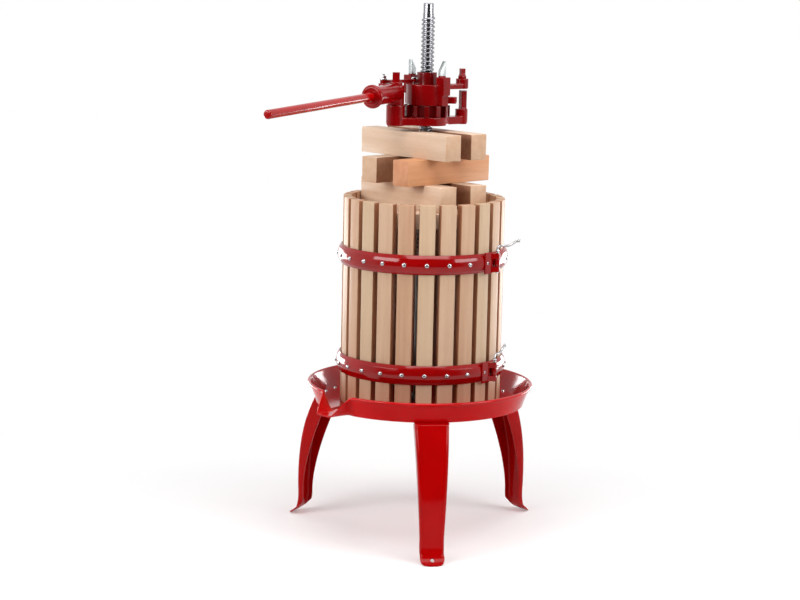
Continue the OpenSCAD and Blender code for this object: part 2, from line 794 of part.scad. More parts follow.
// Lever: hub, socket with its bead, and the crank for the link
module lever_socket() {
    color(red) at_pivot() difference() {
        union() {
            translate([0, 0, lever_z]) cylinder(r = lever_hub_r, h = lever_hub_h);
            facing(handle_az) {
                translate([0, 0, bar_z]) rotate([0, 90 + handle_drop, 0]) {
                    cylinder(r = socket_r, h = bead_at);
                    translate([0, 0, bead_at - 6.7]) cylinder(r = bead_r - 7, h = 13.4);
                    translate([0, 0, bead_at]) rotate_extrude() translate([bead_r - 7, 0]) circle(r = 7);
                }
            }
            facing(crank_az) translate([0, 0, link_z - run_gap - 20]) {
                linear_extrude(20) arm_web(crank_r, 16, 11);
                translate([crank_r, 0, 0]) cylinder(r = 11, h = 20);
            }
        }
        translate([0, 0, lever_z - 1]) cylinder(r = pivot_r + 0.05, h = lever_hub_h + 10);
        facing(handle_az) translate([0, 0, bar_z]) rotate([0, 90 + handle_drop, 0])
            translate([0, 0, bar_start - 2]) cylinder(r = bar_r + 0.1, h = bar_in + 20);
        facing(crank_az) translate([crank_r, 0, link_z - 16]) cylinder(r = link_pin_r + 0.05, h = 20);
        translate([0, 0, lever_z - 40]) cylinder(r = 60, h = 40);
        translate([0, 0, lever_top_z]) cylinder(r = bolt_collar_r + 0.5, h = 40);
    }
}

module pivot_bolts() {
    collar_h = 6;
    color(red) at_pivot() {
        translate([0, 0, head_z + 8]) cylinder(r = pivot_r, h = lever_top_z - head_z - 7);
        translate([0, 0, lever_top_z + 0.2]) cylinder(r = bolt_collar_r, h = collar_h);
        translate([-8.5, -8.5, lever_top_z + collar_h]) cube([17, 17, 24]);
    }
    color(zinc) at_pivot() facing(crank_az) translate([crank_r, 0, 0]) {
        translate([0, 0, link_z - 15]) cylinder(r = link_pin_r, h = link_t + 15.5);
        translate([0, 0, link_top_z + 0.3]) cylinder(r = 9, h = 2.5);
        translate([0, 0, link_top_z + 2.5]) hex_nut(8, 7);
        translate([0, 0, link_top_z + 9]) cylinder(r = link_pin_r, h = 5);
    }
}

// Link between the lever's crank and the drum, parallel to the line of the pivots
module drive_link() {
    color(red) facing(crank_az) translate([crank_r, 0, link_z]) rotate([0, 0, pivot_az - crank_az])
        difference() {
            linear_extrude(link_t) {
                for (x = [0, pivot_at]) translate([x, 0]) circle(r = link_eye_r);
                translate([0, -link_w / 2]) square([pivot_at, link_w]);
            }
            translate([0, 0, -1]) cylinder(r = link_pin_r + 0.7, h = link_t + 2);
            translate([pivot_at, 0, -1]) cylinder(r = link_pin_r + 0.08, h = link_t + 2);
        }
}

module handle_bar() {
    tip = 4;
    color(red) at_pivot() facing(handle_az) translate([0, 0, bar_z]) rotate([0, 90 + handle_drop, 0]) {
        translate([0, 0, bar_start]) cylinder(r = bar_r, h = handle_reach - bar_start - tip);
        translate([0, 0, handle_reach - tip]) cylinder(r1 = bar_r, r2 = bar_r - 3, h = tip);
    }
}

tray();
leg(leg_az(0));  // front_leg
leg(leg_az(1));  // right_leg
leg(leg_az(2));  // left_leg
leg_bolts();
screw();
screw_lock_nut();
hoop_half(1, upper_hoop_z);  // front_upper_hoop
hoop_half(1, lower_hoop_z);  // front_lower_hoop
hoop_screws(1);  // front_hoop_screws
hoop_half(-1, upper_hoop_z);  // rear_upper_hoop
hoop_half(-1, lower_hoop_z);  // rear_lower_hoop
hoop_screws(-1);  // rear_hoop_screws
for (i = [0:11]) {
    slat(slat_place(1, i));
    slat(slat_place(-1, i));
}
clasp_pin(part_az, 20, upper_hoop_z);  // right_upper_pin
clasp_pin(part_az, 95, lower_hoop_z);  // right_lower_pin
clasp_pin(part_az + 180, -60, upper_hoop_z);  // left_upper_pin
clasp_pin(part_az + 180, -60, lower_hoop_z);  // left_lower_pin
press_plate(-1);  // front_press_plate
press_plate(1);  // rear_press_plate
block(2, -1);  // top_front_block
block(2, 1);  // top_rear_block
block(1, 1);  // middle_left_block
block(1, -1);  // middle_right_block
block(0, -1);  // bottom_front_block
block(0, 1);  // bottom_rear_block
thrust_body();
thrust_washer();
ratchet_nut();
pawl_ring();
ring_bolts();
pawl(pawl_az);  // right_pawl
pawl(pawl_az + 180);  // left_pawl
lever_socket();
pivot_bolts();
drive_link();
handle_bar();
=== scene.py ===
# Grape press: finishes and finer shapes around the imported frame. Pieces are modelled in millimetres.
import bpy
import bmesh
import math
from mathutils import Matrix, Vector


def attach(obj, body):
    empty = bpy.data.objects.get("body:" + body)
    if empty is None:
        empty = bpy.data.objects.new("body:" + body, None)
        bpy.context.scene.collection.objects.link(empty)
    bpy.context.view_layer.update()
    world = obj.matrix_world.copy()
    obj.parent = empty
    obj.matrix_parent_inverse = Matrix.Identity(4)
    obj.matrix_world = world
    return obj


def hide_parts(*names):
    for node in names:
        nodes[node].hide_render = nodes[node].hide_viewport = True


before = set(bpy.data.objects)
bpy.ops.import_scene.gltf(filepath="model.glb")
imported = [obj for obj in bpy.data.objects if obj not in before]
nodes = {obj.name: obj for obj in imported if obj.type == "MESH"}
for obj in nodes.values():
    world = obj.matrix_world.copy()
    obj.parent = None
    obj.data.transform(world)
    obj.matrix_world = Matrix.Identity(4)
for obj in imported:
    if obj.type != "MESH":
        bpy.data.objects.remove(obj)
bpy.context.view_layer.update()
mm = 0.001
print("frame loaded")

# Camera at the photograph's viewing angle
view = {
    "distance": 5.2012,
    "height": 1.414,
    "aimHeight": 0.63,
    "focalPixels": 2196.93,
    "axisPixel": (422.44, 272.15),
    "roll": 1.35,
    "sensor": 36,
    "imageSize": (800, 600),
}


def addCamera():
    imageW, imageH = view["imageSize"]
    axisX, axisY = view["axisPixel"]
    data = bpy.data.cameras.new("camera")
    data.sensor_width = view["sensor"]
    data.lens = view["focalPixels"] * view["sensor"] / imageW
    data.shift_x = (imageW / 2 - axisX) / imageW
    data.shift_y = (axisY - imageH / 2) / imageW
    camera = bpy.data.objects.new("camera", data)
    pitch = math.atan2(view["height"] - view["aimHeight"], view["distance"])
    place = Matrix.Translation((0, -view["distance"], view["height"]))
    tilt = Matrix.Rotation(math.pi / 2 - pitch, 4, "X")
    roll = Matrix.Rotation(math.radians(view["roll"]), 4, "Z")
    camera.matrix_world = place @ tilt @ roll
    bpy.context.scene.collection.objects.link(camera)
    bpy.context.scene.camera = camera


addCamera()
print("camera placed")


# Node helpers for the finishes
def startMaterial(name):
    material = bpy.data.materials.new(name)
    material.use_nodes = True
    tree = material.node_tree
    shader = tree.nodes["Principled BSDF"]
    return material, tree, shader


def addNode(tree, kind, **values):
    node = tree.nodes.new(kind)
    for key, value in values.items():
        if key in node.inputs:
            node.inputs[key].default_value = value
        else:
            setattr(node, key, value)
    return node


def placedCoordinates(tree, turn=0, stretch=(1, 1, 1)):
    # The piece's own coordinates, turned to its length and then stretched
    place = addNode(tree, "ShaderNodeTexCoord")
    mapping = addNode(tree, "ShaderNodeMapping", vector_type="TEXTURE")
    mapping.inputs["Rotation"].default_value = (0, 0, math.radians(turn))
    mapping.inputs["Scale"].default_value = stretch
    tree.links.new(place.outputs["Object"], mapping.inputs["Vector"])
    return mapping.outputs["Vector"]


def addNoise(tree, vector, scale, detail=4, roughness=0.5, distortion=0):
    noise = addNode(tree, "ShaderNodeTexNoise", Scale=scale, Detail=detail, Roughness=roughness)
    noise.inputs["Distortion"].default_value = distortion
    tree.links.new(vector, noise.inputs["Vector"])
    return noise.outputs["Fac"]


def addRamp(tree, factor, *stops):
    ramp = addNode(tree, "ShaderNodeValToRGB")
    while len(ramp.color_ramp.elements) < len(stops):
        ramp.color_ramp.elements.new(0.5)
    for element, (position, colour) in zip(ramp.color_ramp.elements, stops):
        element.position = position
        element.color = (*colour, 1)
    tree.links.new(factor, ramp.inputs["Fac"])
    return ramp.outputs["Color"]


def plainColour(tree, colour):
    node = addNode(tree, "ShaderNodeRGB")
    node.outputs[0].default_value = (*colour, 1)
    return node.outputs[0]


def addMath(tree, kind, operation, *values):
    # Each value is a socket or a constant
    node = addNode(tree, "ShaderNode" + kind, operation=operation)
    for socket, value in zip(node.inputs, values):
        if isinstance(value, bpy.types.NodeSocket):
            tree.links.new(value, socket)
        else:
            socket.default_value = value
    return node.outputs["Value" if operation == "LENGTH" else 0]


def mixColours(tree, factor, first, second, blend="MIX"):
    mix = addNode(tree, "ShaderNodeMix", data_type="RGBA", blend_type=blend)
    if isinstance(factor, (int, float)):
        mix.inputs["Factor"].default_value = factor
    else:
        tree.links.new(factor, mix.inputs["Factor"])
    tree.links.new(first, mix.inputs[6])
    tree.links.new(second, mix.inputs[7])
    return mix.outputs[2]


def addRange(tree, factor, low, high, fromLow=0, fromHigh=1):
    span = addNode(tree, "ShaderNodeMapRange")
    for key, value in (("From Min", fromLow), ("From Max", fromHigh), ("To Min", low), ("To Max", high)):
        span.inputs[key].default_value = value
    tree.links.new(factor, span.inputs["Value"])
    return span.outputs["Result"]


def addBump(tree, shader, layers):
    # Layers of (height, strength, depth in metres), the coarsest first
    normal = None
    for height, strength, depth in layers:
        bump = addNode(tree, "ShaderNodeBump", Strength=strength, Distance=depth)
        tree.links.new(height, bump.inputs["Height"])
        if normal:
            tree.links.new(normal, bump.inputs["Normal"])
        normal = bump.outputs["Normal"]
    tree.links.new(normal, shader.inputs["Normal"])


enamel = {
    # The tray's reds are paler than the legs' red of the same paint: painted light on the tray
    "tray": (0.55, 0.001, 0.002),
    "trayDeep": (0.47, 0.0006, 0.0012),
    "sheet": (0.42, 0.0006, 0.001),
    "sheetDeep": (0.34, 0.0004, 0.0006),
    "hoop": (0.31, 0.0006, 0.001),
    "hoopDeep": (0.25, 0.0004, 0.0006),
    "cast": (0.27, 0.0008, 0.002),
    "castDeep": (0.17, 0.0004, 0.001),
    # The ratchet nut's reds are darker than the castings' paint: painted shade of its recess
    "wheel": (0.17, 0.0008, 0.0016),
    "wheelDeep": (0.11, 0.0004, 0.0008),
    "scuff": (0.6, 0.14, 0.12),
}


def enamelMaterial(name, finish, skin, rough, scuffs, shine):
    # skin is the orange peel's depth and scale, and then the slow dents' strength and scale
    material, tree, shader = startMaterial(name)
    place = placedCoordinates(tree)
    cloud = addNoise(tree, place, 9, 3)
    colour = addRamp(tree, cloud, (0.3, enamel[finish + "Deep"]), (0.65, enamel[finish]))
    if scuffs:
        # Short fine scratches that the press picks up in use
        slant = placedCoordinates(tree, 25, (0.012, 0.3, 0.012))
        lines = addNoise(tree, slant, 1.1, 2, 0.4)
        patch = addNoise(tree, place, 14, 2)
        hair = addRamp(tree, lines, (0.495, (0, 0, 0)), (0.5, (1, 1, 1)), (0.505, (0, 0, 0)))
        where = addRamp(tree, patch, (0.56, (0, 0, 0)), (0.7, (scuffs, scuffs, scuffs)))
        amount = mixColours(tree, 1, hair, where, "MULTIPLY")
        colour = mixColours(tree, amount, colour, plainColour(tree, enamel["scuff"]))
    tree.links.new(colour, shader.inputs["Base Color"])
    gloss = addNoise(tree, place, 40, 3)
    tree.links.new(addRange(tree, gloss, *rough, 0.3, 0.7), shader.inputs["Roughness"])
    peelDepth, peelScale, dentStrength, dentScale = skin
    peel = addNoise(tree, place, peelScale, 2)
    dents = addNoise(tree, place, dentScale, 2)
    addBump(tree, shader, [(dents, dentStrength, 0.0008), (peel, 0.3, peelDepth)])
    shader.inputs["Specular IOR Level"].default_value = shine
    return material


def metalMaterial(name, pale, deep, rough, stretch, scale):
    material, tree, shader = startMaterial(name)
    place = placedCoordinates(tree, 0, stretch)
    spangle = addNoise(tree, place, scale, 4, 0.6)
    tree.links.new(addRamp(tree, spangle, (0.3, deep), (0.7, pale)), shader.inputs["Base Color"])
    tree.links.new(addRange(tree, spangle, *rough, 0.3, 0.7), shader.inputs["Roughness"])
    fine = addNoise(tree, place, scale * 6, 2)
    addBump(tree, shader, [(fine, 0.25, 0.00005)])
    shader.inputs["Metallic"].default_value = 1
    return material


def slotShadeMask(tree):
    # 1 on the sides of an upright slat, where the slots between slats get a painted shade, and 0 on its
    # outer and inner faces and its end
    place = addNode(tree, "ShaderNodeTexCoord")
    flat = addMath(tree, "VectorMath", "MULTIPLY", place.outputs["Object"], (1, 1, 0))
    outward = addMath(tree, "VectorMath", "NORMALIZE", flat)
    cross = addMath(tree, "VectorMath", "CROSS_PRODUCT", outward, place.outputs["Normal"])
    parts = addNode(tree, "ShaderNodeSeparateXYZ")
    tree.links.new(cross, parts.inputs[0])
    side = addMath(tree, "Math", "ABSOLUTE", parts.outputs["Z"])
    return addRange(tree, side, 0, 1, 0.6, 0.9)


beech = {
    # scale, detail, roughness and warp of the noise
    "grain": (70, 6, 0.62, 0.4),
    "boards": (9, 2),
    "boardStretch": 0.35,
    "flecks": (620, 1, 0.4),
    "fleckStretch": 0.45,
    "fleckStrength": 0.16,
    "streaks": 0.4,
    "rough": (0.62, 0.48),
    "shine": 0.35,
}


def drawnOut(stretch, share):
    # A share of the grain's stretch
    return [1 + share * (s - 1) for s in stretch]


def woodMaterial(name, turn, stretch, tones, slotShade=None):
    material, tree, shader = startMaterial(name)
    pale, mid, deep = tones
    look = beech
    along = placedCoordinates(tree, turn, stretch)
    plain = placedCoordinates(tree, turn, drawnOut(stretch, look["boardStretch"]))
    grain = addNoise(tree, along, *look["grain"])
    broad = addNoise(tree, plain, *look["boards"])
    boards = addRamp(tree, broad, (0.32, deep), (0.5, mid), (0.66, pale))
    streaks = addRamp(tree, grain, (0.3, deep), (0.48, mid), (0.62, pale))
    colour = mixColours(tree, look["streaks"], boards, streaks)
    # The short dark flecks of beech
    fleckPlace = placedCoordinates(tree, turn, drawnOut(stretch, look["fleckStretch"]))
    flecks = addNoise(tree, fleckPlace, *look["flecks"])
    mask = addRamp(tree, flecks, (0.64, (0, 0, 0)), (0.74, [look["fleckStrength"]] * 3))
    dark = plainColour(tree, (deep[0] * 0.55, deep[1] * 0.45, deep[2] * 0.4))
    colour = mixColours(tree, mask, colour, dark)
    # Painted shade: a slat's sides, down in the slots between slats, turn dark; a little of it is the sawn
    # wood's own darker tone
    if slotShade:
        colour = mixColours(tree, slotShadeMask(tree), colour, plainColour(tree, slotShade))
    tree.links.new(colour, shader.inputs["Base Color"])
    tree.links.new(addRange(tree, grain, *look["rough"], 0.3, 0.7), shader.inputs["Roughness"])
    addBump(tree, shader, [(grain, 0.15, 0.0003), (flecks, 0.1, 0.0001)])
    shader.inputs["Specular IOR Level"].default_value = look["shine"]
    return material


# How far the grain is drawn out along a board, and its tones: pale, middle and deep; slats differ a little
evenly = (1, 1, 1)
upright = (1, 1, 22)
lengthwise = (22, 1, 1)
slatTones = (
    ((0.62, 0.42, 0.285), (0.56, 0.36, 0.235), (0.48, 0.285, 0.175)),
    ((0.62, 0.445, 0.30), (0.57, 0.395, 0.255), (0.49, 0.32, 0.195)),
    ((0.60, 0.385, 0.25), (0.54, 0.325, 0.205), (0.46, 0.25, 0.145)),
)
# The painted shade of the slots between slats, with a little of the sawn sides' own darker tone
slotShadeBeech = (0.38, 0.165, 0.08)
blockBeech = ((0.78, 0.60, 0.46), (0.72, 0.52, 0.375), (0.63, 0.42, 0.28))
darkBeech = ((0.73, 0.38, 0.195), (0.65, 0.31, 0.15), (0.54, 0.23, 0.10))
endBeech = ((0.68, 0.46, 0.31), (0.62, 0.39, 0.25), (0.54, 0.31, 0.185))
darkEndBeech = ((0.68, 0.33, 0.18), (0.6, 0.265, 0.135), (0.5, 0.2, 0.095))
# Painted shade for the block sides that face the gap along the screw
gapShadeTones = ((0.36, 0.17, 0.09), (0.29, 0.125, 0.065), (0.2, 0.075, 0.038))

sheetSkin = (0.00003, 420, 0.05, 28)
hoopSkin = (0.00003, 420, 0.02, 28)
barSkin = (0.00003, 380, 0.05, 28)
castSkin = (0.0001, 300, 0.5, 90)
reds = {
    # name: finish, skin, roughness, scuffs, shine
    "legRed": ("sheet", sheetSkin, (0.08, 0.14), 0.4, 0.12),
    "hoopRed": ("hoop", hoopSkin, (0.07, 0.12), 0, 0.38),
    "litTrayRed": ("tray", sheetSkin, (0.08, 0.14), 0.3, 0.12),
    "litInsideRed": ("tray", sheetSkin, (0.08, 0.14), 0.3, 0.3),
    "castRed": ("cast", castSkin, (0.1, 0.2), 0, 0.3),
    "wheelRed": ("wheel", castSkin, (0.14, 0.24), 0, 0.3),
    "barRed": ("sheet", barSkin, (0.12, 0.2), 0.4, 0.4),
}
legRed, hoopRed, litTrayRed, litInsideRed, castRed, wheelRed, barRed = (
    enamelMaterial(name, *values) for name, values in reds.items()
)

metals = {
    # name: pale, deep, roughness, stretch, scale
    "zincPlate": ((0.62, 0.62, 0.63), (0.42, 0.42, 0.44), (0.14, 0.26), (1, 1, 1), 160),
    "pawlSteel": ((0.46, 0.48, 0.48), (0.37, 0.4, 0.4), (0.34, 0.5), (1, 1, 12), 420),
    "turnedSteel": ((0.36, 0.36, 0.38), (0.21, 0.21, 0.23), (0.18, 0.3), (6, 6, 1), 900),
    # A dark steel: painted shade on the screw inside the basket
    "basketShadeSteel": ((0.13, 0.12, 0.11), (0.07, 0.06, 0.055), (0.4, 0.55), (6, 6, 1), 900),
    "washerBronze": ((0.6, 0.42, 0.2), (0.42, 0.28, 0.12), (0.3, 0.45), (1, 1, 1), 200),
}
zincPlate, pawlSteel, turnedSteel, basketShadeSteel, washerBronze = (
    metalMaterial(name, *values) for name, values in metals.items()
)
endGrains = {
    "beech": woodMaterial("endBeech", 0, evenly, endBeech),
    "dark_beech": woodMaterial("darkEndBeech", 0, evenly, darkEndBeech),
}
# Painted shade for the blocks' sides in the gap along the screw, as a dark beech
gapShadeBeech = woodMaterial("gapShadeBeech", 0, evenly, gapShadeTones)
slatBeeches = [
    woodMaterial(f"slatBeech{i}", 0, upright, tones, slotShadeBeech) for i, tones in enumerate(slatTones, 1)
]
# The grain of each layer runs along its blocks
layerTurns = {"bottom": -50, "middle": 46, "top": -47.5}
topBeech = woodMaterial("topBeech", layerTurns["top"], lengthwise, blockBeech)
lowBeech = woodMaterial("lowBeech", layerTurns["bottom"], lengthwise, blockBeech)
leftBeech = woodMaterial("leftBeech", layerTurns["middle"], lengthwise, blockBeech)
rightBeech = woodMaterial("rightBeech", layerTurns["middle"], lengthwise, darkBeech)
print("finishes made")


# Mesh helpers
def facing(az):
    # Local +X points outwards at an azimuth counted from the front to the right
    return Matrix.Rotation(math.radians(az - 90), 4, "Z")


def turnedTo(bm, *steps):
    matrix = Matrix.Identity(4)
    for step in steps:
        matrix = matrix @ step
    bmesh.ops.transform(bm, matrix=matrix, verts=bm.verts)


def moved(x, y, z):
    return Matrix.Translation((x, y, z))


def roundedPath(corners, closed=False, steps=4):
    # Corners of (x, y, radius): each is replaced by an arc that touches both its sides
    count = len(corners)
    path = []
    for i, (x, y, radius) in enumerate(corners):
        here = Vector((x, y))
        if not radius or (not closed and i in (0, count - 1)):
            path.append(here)
            continue
        before = (Vector(corners[i - 1][:2]) - here).normalized()
        after = (Vector(corners[(i + 1) % count][:2]) - here).normalized()
        half = before.angle(after) / 2
        centre = here + (before + after).normalized() * radius / math.sin(half)
        start = here + before * radius / math.tan(half) - centre
        end = here + after * radius / math.tan(half) - centre
        sweep = start.angle_signed(end)
        for k in range(steps + 1):
            turn = Matrix.Rotation(-sweep * k / steps, 2)
            path.append(centre + turn @ start)
    return path


def addWire(bm, path, closed=False):
    verts = [bm.verts.new((p[0], 0, p[1])) for p in path]
    pairs = list(zip(verts, verts[1:])) + ([(verts[-1], verts[0])] if closed else [])
    return verts + [bm.edges.new(pair) for pair in pairs]


def spun(bm, wire, steps, degrees=360, rise=0):
    # Carries a wire round Z; a full turn without a rise is closed
    bmesh.ops.spin(
        bm, geom=wire, cent=(0, 0, 0), axis=(0, 0, 1), dvec=(0, 0, rise), angle=math.radians(degrees),
        steps=steps, use_merge=degrees == 360 and not rise, use_duplicate=False,
    )


def lathe(bm, path, steps=48, closed=False):
    spun(bm, addWire(bm, path, closed), steps)
    bmesh.ops.remove_doubles(bm, verts=bm.verts, dist=1e-4)


def closeEnds(bm):
    bmesh.ops.holes_fill(bm, edges=[e for e in bm.edges if e.is_boundary], sides=0)


def sharpEdges(bm, least=30):
    return [e for e in bm.edges if e.is_manifold and e.calc_face_angle(0) > math.radians(least)]


def soften(bm, width, segments=3, least=30, edges=None):
    bmesh.ops.bevel(
        bm, geom=edges or sharpEdges(bm, least), offset=width, offset_type="OFFSET", affect="EDGES",
        segments=segments, profile=0.5, material=-1, clamp_overlap=True,
    )


def solidFrom(bm, corners, draw):
    # A flat outline, drawn out along a vector
    face = bm.faces.new([bm.verts.new(corner) for corner in corners])
    made = bmesh.ops.extrude_face_region(bm, geom=[face])["geom"]
    newVerts = [g for g in made if isinstance(g, bmesh.types.BMVert)]
    bmesh.ops.translate(bm, vec=draw, verts=newVerts)


def addBlock(bm, low, high, width, segments=3):
    size = [b - a for a, b in zip(low, high)]
    made = bmesh.ops.create_cube(bm, size=1)["verts"]
    bmesh.ops.scale(bm, vec=size, verts=made)
    bmesh.ops.translate(bm, vec=[(a + b) / 2 for a, b in zip(low, high)], verts=made)
    edges = list({e for v in made for e in v.link_edges})
    soften(bm, width, segments, edges=edges)


def objectFrom(bm, name):
    mesh = bpy.data.meshes.new(name)
    bm.to_mesh(mesh)
    bm.free()
    made = bpy.data.objects.new(name, mesh)
    bpy.context.scene.collection.objects.link(made)
    return made


def addTo(bm, part):
    # Moves a part's mesh into another one
    scratch = bpy.data.meshes.new("scratch")
    part.to_mesh(scratch)
    part.free()
    bm.from_mesh(scratch)
    bpy.data.meshes.remove(scratch)


def dress(piece, body, node, materials):
    # Gives a piece its finish and tells the frame what it rides on and stands for
    for material in materials:
        piece.data.materials.append(material)
    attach(piece, body)
    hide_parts(node)


def keepPiece(bm, name, body, node, materials, sharp=40, turnOut=True):
    bmesh.ops.scale(bm, vec=(mm, mm, mm), verts=bm.verts)
    if turnOut:
        bmesh.ops.recalc_face_normals(bm, faces=bm.faces)
    piece = objectFrom(bm, name)
    piece.data.shade_smooth()
    piece.data.set_sharp_from_angle(angle=math.radians(sharp))
    dress(piece, body, node, materials)
    return piece


def applied(piece):
    # Bakes a piece's modifiers into its mesh
    graph = bpy.context.evaluated_depsgraph_get()
    mesh = bpy.data.meshes.new_from_object(piece.evaluated_get(graph))
    piece.modifiers.clear()
    piece.data = mesh
    return piece


def cutBy(piece, cutters):
    for cutter in cutters:
        cut = piece.modifiers.new("cut", "BOOLEAN")
        cut.operation = "DIFFERENCE"
        cut.solver = "EXACT"
        cut.object = cutter
    applied(piece)
    for cutter in cutters:
        bpy.data.objects.remove(cutter)


# Tray: pressed sheet with a rolled rim, drawn out into a spout
trayShape = {
    "holeR": 12.3,
    "floorR": 248,
    "floorZ": 319.7,
    "sheet": 3,
    "rimR": 266,
    "rimZ": 362,
    "rollR": 3.95,
    "rollOut": 2.5,
    "spoutAz": -47,
    "spoutHalfAngle": 11.18,
    "tipR": 303,
    "tipZ": 319,
    "lipFlat": 0.38,
    "lipNarrow": 0.1,
    "lipRoll": 0.45,
    "innerRing": 188,
    "wallSteps": 12,
    "rollSteps": 14,
    "rollFrom": -120,
    "rollTurn": 290,
    "columns": 288,
    "spoutShare": 0.35,
    "spoutSpread": 60,
    "insideFrom": 0.15,
}


def smoothStep(t):
    t = min(1, max(0, t))
    return t * t * (3 - 2 * t)


def trayPoint(angle, up, skin):
    # up runs from the floor's edge to the rim, and skin is the distance from the middle of the sheet
    shape = trayShape
    lipFlat = shape["lipFlat"]
    plain = smoothStep((abs(angle) / shape["spoutHalfAngle"] - lipFlat) / (1 - lipFlat))
    midZ = shape["floorZ"] - shape["sheet"] / 2
    wallR = shape["floorR"] + up * (shape["rimR"] - shape["sheet"] / 2 - shape["floorR"])
    wallZ = midZ + up * (shape["rimZ"] - midZ)
    lipR = shape["floorR"] + up * (shape["tipR"] - shape["floorR"])
    lipZ = midZ + up * up * (shape["tipZ"] - midZ)
    flat = 1 - plain * min(1, up * 5)
    radius = lipR + (wallR - lipR) * plain + skin * plain
    height = lipZ + (wallZ - lipZ) * plain - skin * flat
    return radius, height, angle * (1 - shape["lipNarrow"] * up * (1 - plain)), plain


def addTray():
    shape = trayShape
    half = shape["sheet"] / 2
    floorZ, under = shape["floorZ"], shape["floorZ"] - shape["sheet"]
    bm = bmesh.new()
    # Each vert knows how far up the wall it is, its side of the sheet and its place in the roll
    upLayer = bm.verts.layers.float.new("up")
    skinLayer = bm.verts.layers.float.new("skin")
    rollLayer = bm.verts.layers.float.new("roll")
    steps = [i / shape["wallSteps"] for i in range(shape["wallSteps"])]
    rows = [(shape["holeR"], under, -1, half, 0), (shape["innerRing"], under, -1, half, 0)]
    rows += [(0, 0, up, half, 0) for up in steps]
    rows += [(0, 0, 1, 0, 1 + i) for i in range(shape["rollSteps"] + 1)]
    rows += [(0, 0, up, -half, 0) for up in reversed(steps)]
    rows += [(shape["innerRing"], floorZ, -1, half, 0), (shape["holeR"], floorZ, -1, half, 0)]
    verts = []
    for radius, height, up, skin, roll in rows:
        vert = bm.verts.new((radius if up < 0 else shape["floorR"], 0, height))
        vert[upLayer], vert[skinLayer], vert[rollLayer] = up, skin, roll
        verts.append(vert)
    edges = [bm.edges.new((verts[i], verts[(i + 1) % len(verts)])) for i in range(len(verts))]
    spun(bm, verts + edges, shape["columns"])
    for vert in bm.verts:
        if vert[upLayer] < 0:
            continue
        # More columns stand in the spout than on the plain wall
        turn = math.degrees(math.atan2(vert.co.y, vert.co.x))
        share = shape["spoutShare"]
        angle = turn * (share + (1 - share) * smoothStep(abs(turn) / shape["spoutSpread"]))
        radius, height, angle, plain = trayPoint(angle, vert[upLayer], vert[skinLayer])
        if vert[rollLayer] > 0:
            step = (vert[rollLayer] - 1) / shape["rollSteps"]
            sweep = math.radians(shape["rollFrom"] + shape["rollTurn"] * step)
            roll = shape["rollR"] * (shape["lipRoll"] + (1 - shape["lipRoll"]) * plain)
            radius += shape["rollOut"] * plain + roll * math.cos(sweep)
            height += roll * math.sin(sweep)
        radians = math.radians(angle)
        vert.co = (radius * math.cos(radians), radius * math.sin(radians), height)
    turnedTo(bm, facing(shape["spoutAz"]))
    # The inside catches more of the room than the outside
    bmesh.ops.recalc_face_normals(bm, faces=bm.faces)
    for face in bm.faces:
        face.material_index = 1 if face.normal.z > shape["insideFrom"] else 0
    keepPiece(bm, "trayShell", "frame", "tray", [litTrayRed, litInsideRed], 60)


addTray()
print("tray made")

# Legs: pressed channels with a flat foot
legShape = {
    "firstAz": 6.8,
    "topW": 81,
    "footW": 57,
    "topR": 264,
    "topZ": 316.4,
    "shinR": 312,
    "shinZ": 60,
    "toeR": 339,
    "sheet": 3,
    "plateStep": 11,
    "shoulderOut": 0.4,
    "knee": (36, 240),
    "calf": (2, 160),
    "heel": (-0.8, 26),
    "ankle": (4, 7),
    "shinSteps": 18,
    "footSteps": 24,
    "topDepth": 42,
    "shinDepth": 15,
    "flangeRise": 240,
    "flangePower": 0.8,
    "flangeEndZ": 12,
    "flangeFullZ": 32,
    "bendR": 9,
    "bendSteps": 5,
    "topBendR": 9,
    "toeCorner": 20,
    "toeZ": 14,
    "edge": 0.6,
    "edgeAngle": 50,
    "holeAt": 323,
    "holeR": 5,
    "holeCut": 30,
    "shinSpan": (100, 200),
}


def curvePoint(t, points):
    s = 1 - t
    weights = (s * s * s, 3 * s * s * t, 3 * s * t * t, t * t * t)
    return sum((w * Vector(p) for w, p in zip(weights, points)), Vector((0, 0)))


def legPath():
    # The middle line of the leg's outer face from the top plate down to the toe
    shape = legShape
    topR, topZ, bend = shape["topR"], shape["topZ"], shape["topBendR"]
    shinR, shinZ, foot = shape["shinR"], shape["shinZ"], shape["sheet"]
    (kneeOut, kneeZ), (calfOut, calfZ) = shape["knee"], shape["calf"]
    (heelOut, heelZ), (ankleOut, ankleUp) = shape["heel"], shape["ankle"]
    path = [Vector((topR - shape["topDepth"] + shape["plateStep"] * i, topZ)) for i in range(3)]
    for k in range(6):
        turn = math.radians(15 * k)
        path.append(Vector((topR - bend + bend * math.sin(turn), topZ - bend + bend * math.cos(turn))))
    shin = [(topR + shape["shoulderOut"], topZ - bend), (topR + kneeOut, kneeZ), (shinR + calfOut, calfZ)]
    shin.append((shinR, shinZ))
    flare = [(shinR, shinZ), (shinR + heelOut, heelZ), (shinR + ankleOut, foot + ankleUp)]
    flare.append((shape["toeR"], foot))
    path += [curvePoint(i / shape["shinSteps"], shin) for i in range(shape["shinSteps"])]
    path += [curvePoint(i / shape["footSteps"], flare) for i in range(shape["footSteps"] + 1)]
    return path


def flangeDepth(z):
    shape = legShape
    share = smoothStep((z - shape["shinZ"]) / shape["flangeRise"]) ** shape["flangePower"]
    return shape["shinDepth"] + (shape["topDepth"] - shape["shinDepth"]) * share


def halfWidth(point):
    shape = legShape
    up = min(1, max(0, (point[1] - shape["shinZ"]) / (shape["topZ"] - shape["shinZ"])))
    half = (shape["footW"] + (shape["topW"] - shape["footW"]) * up) / 2
    corner = shape["toeCorner"]
    over = point[0] - (shape["toeR"] - corner)
    if over > 0 and point[1] < shape["toeZ"]:
        # The toe is round, and a hair of width is left at its tip
        half += math.sqrt(max(0, corner ** 2 - over * over)) * 0.999 + 0.02 - corner
    return half


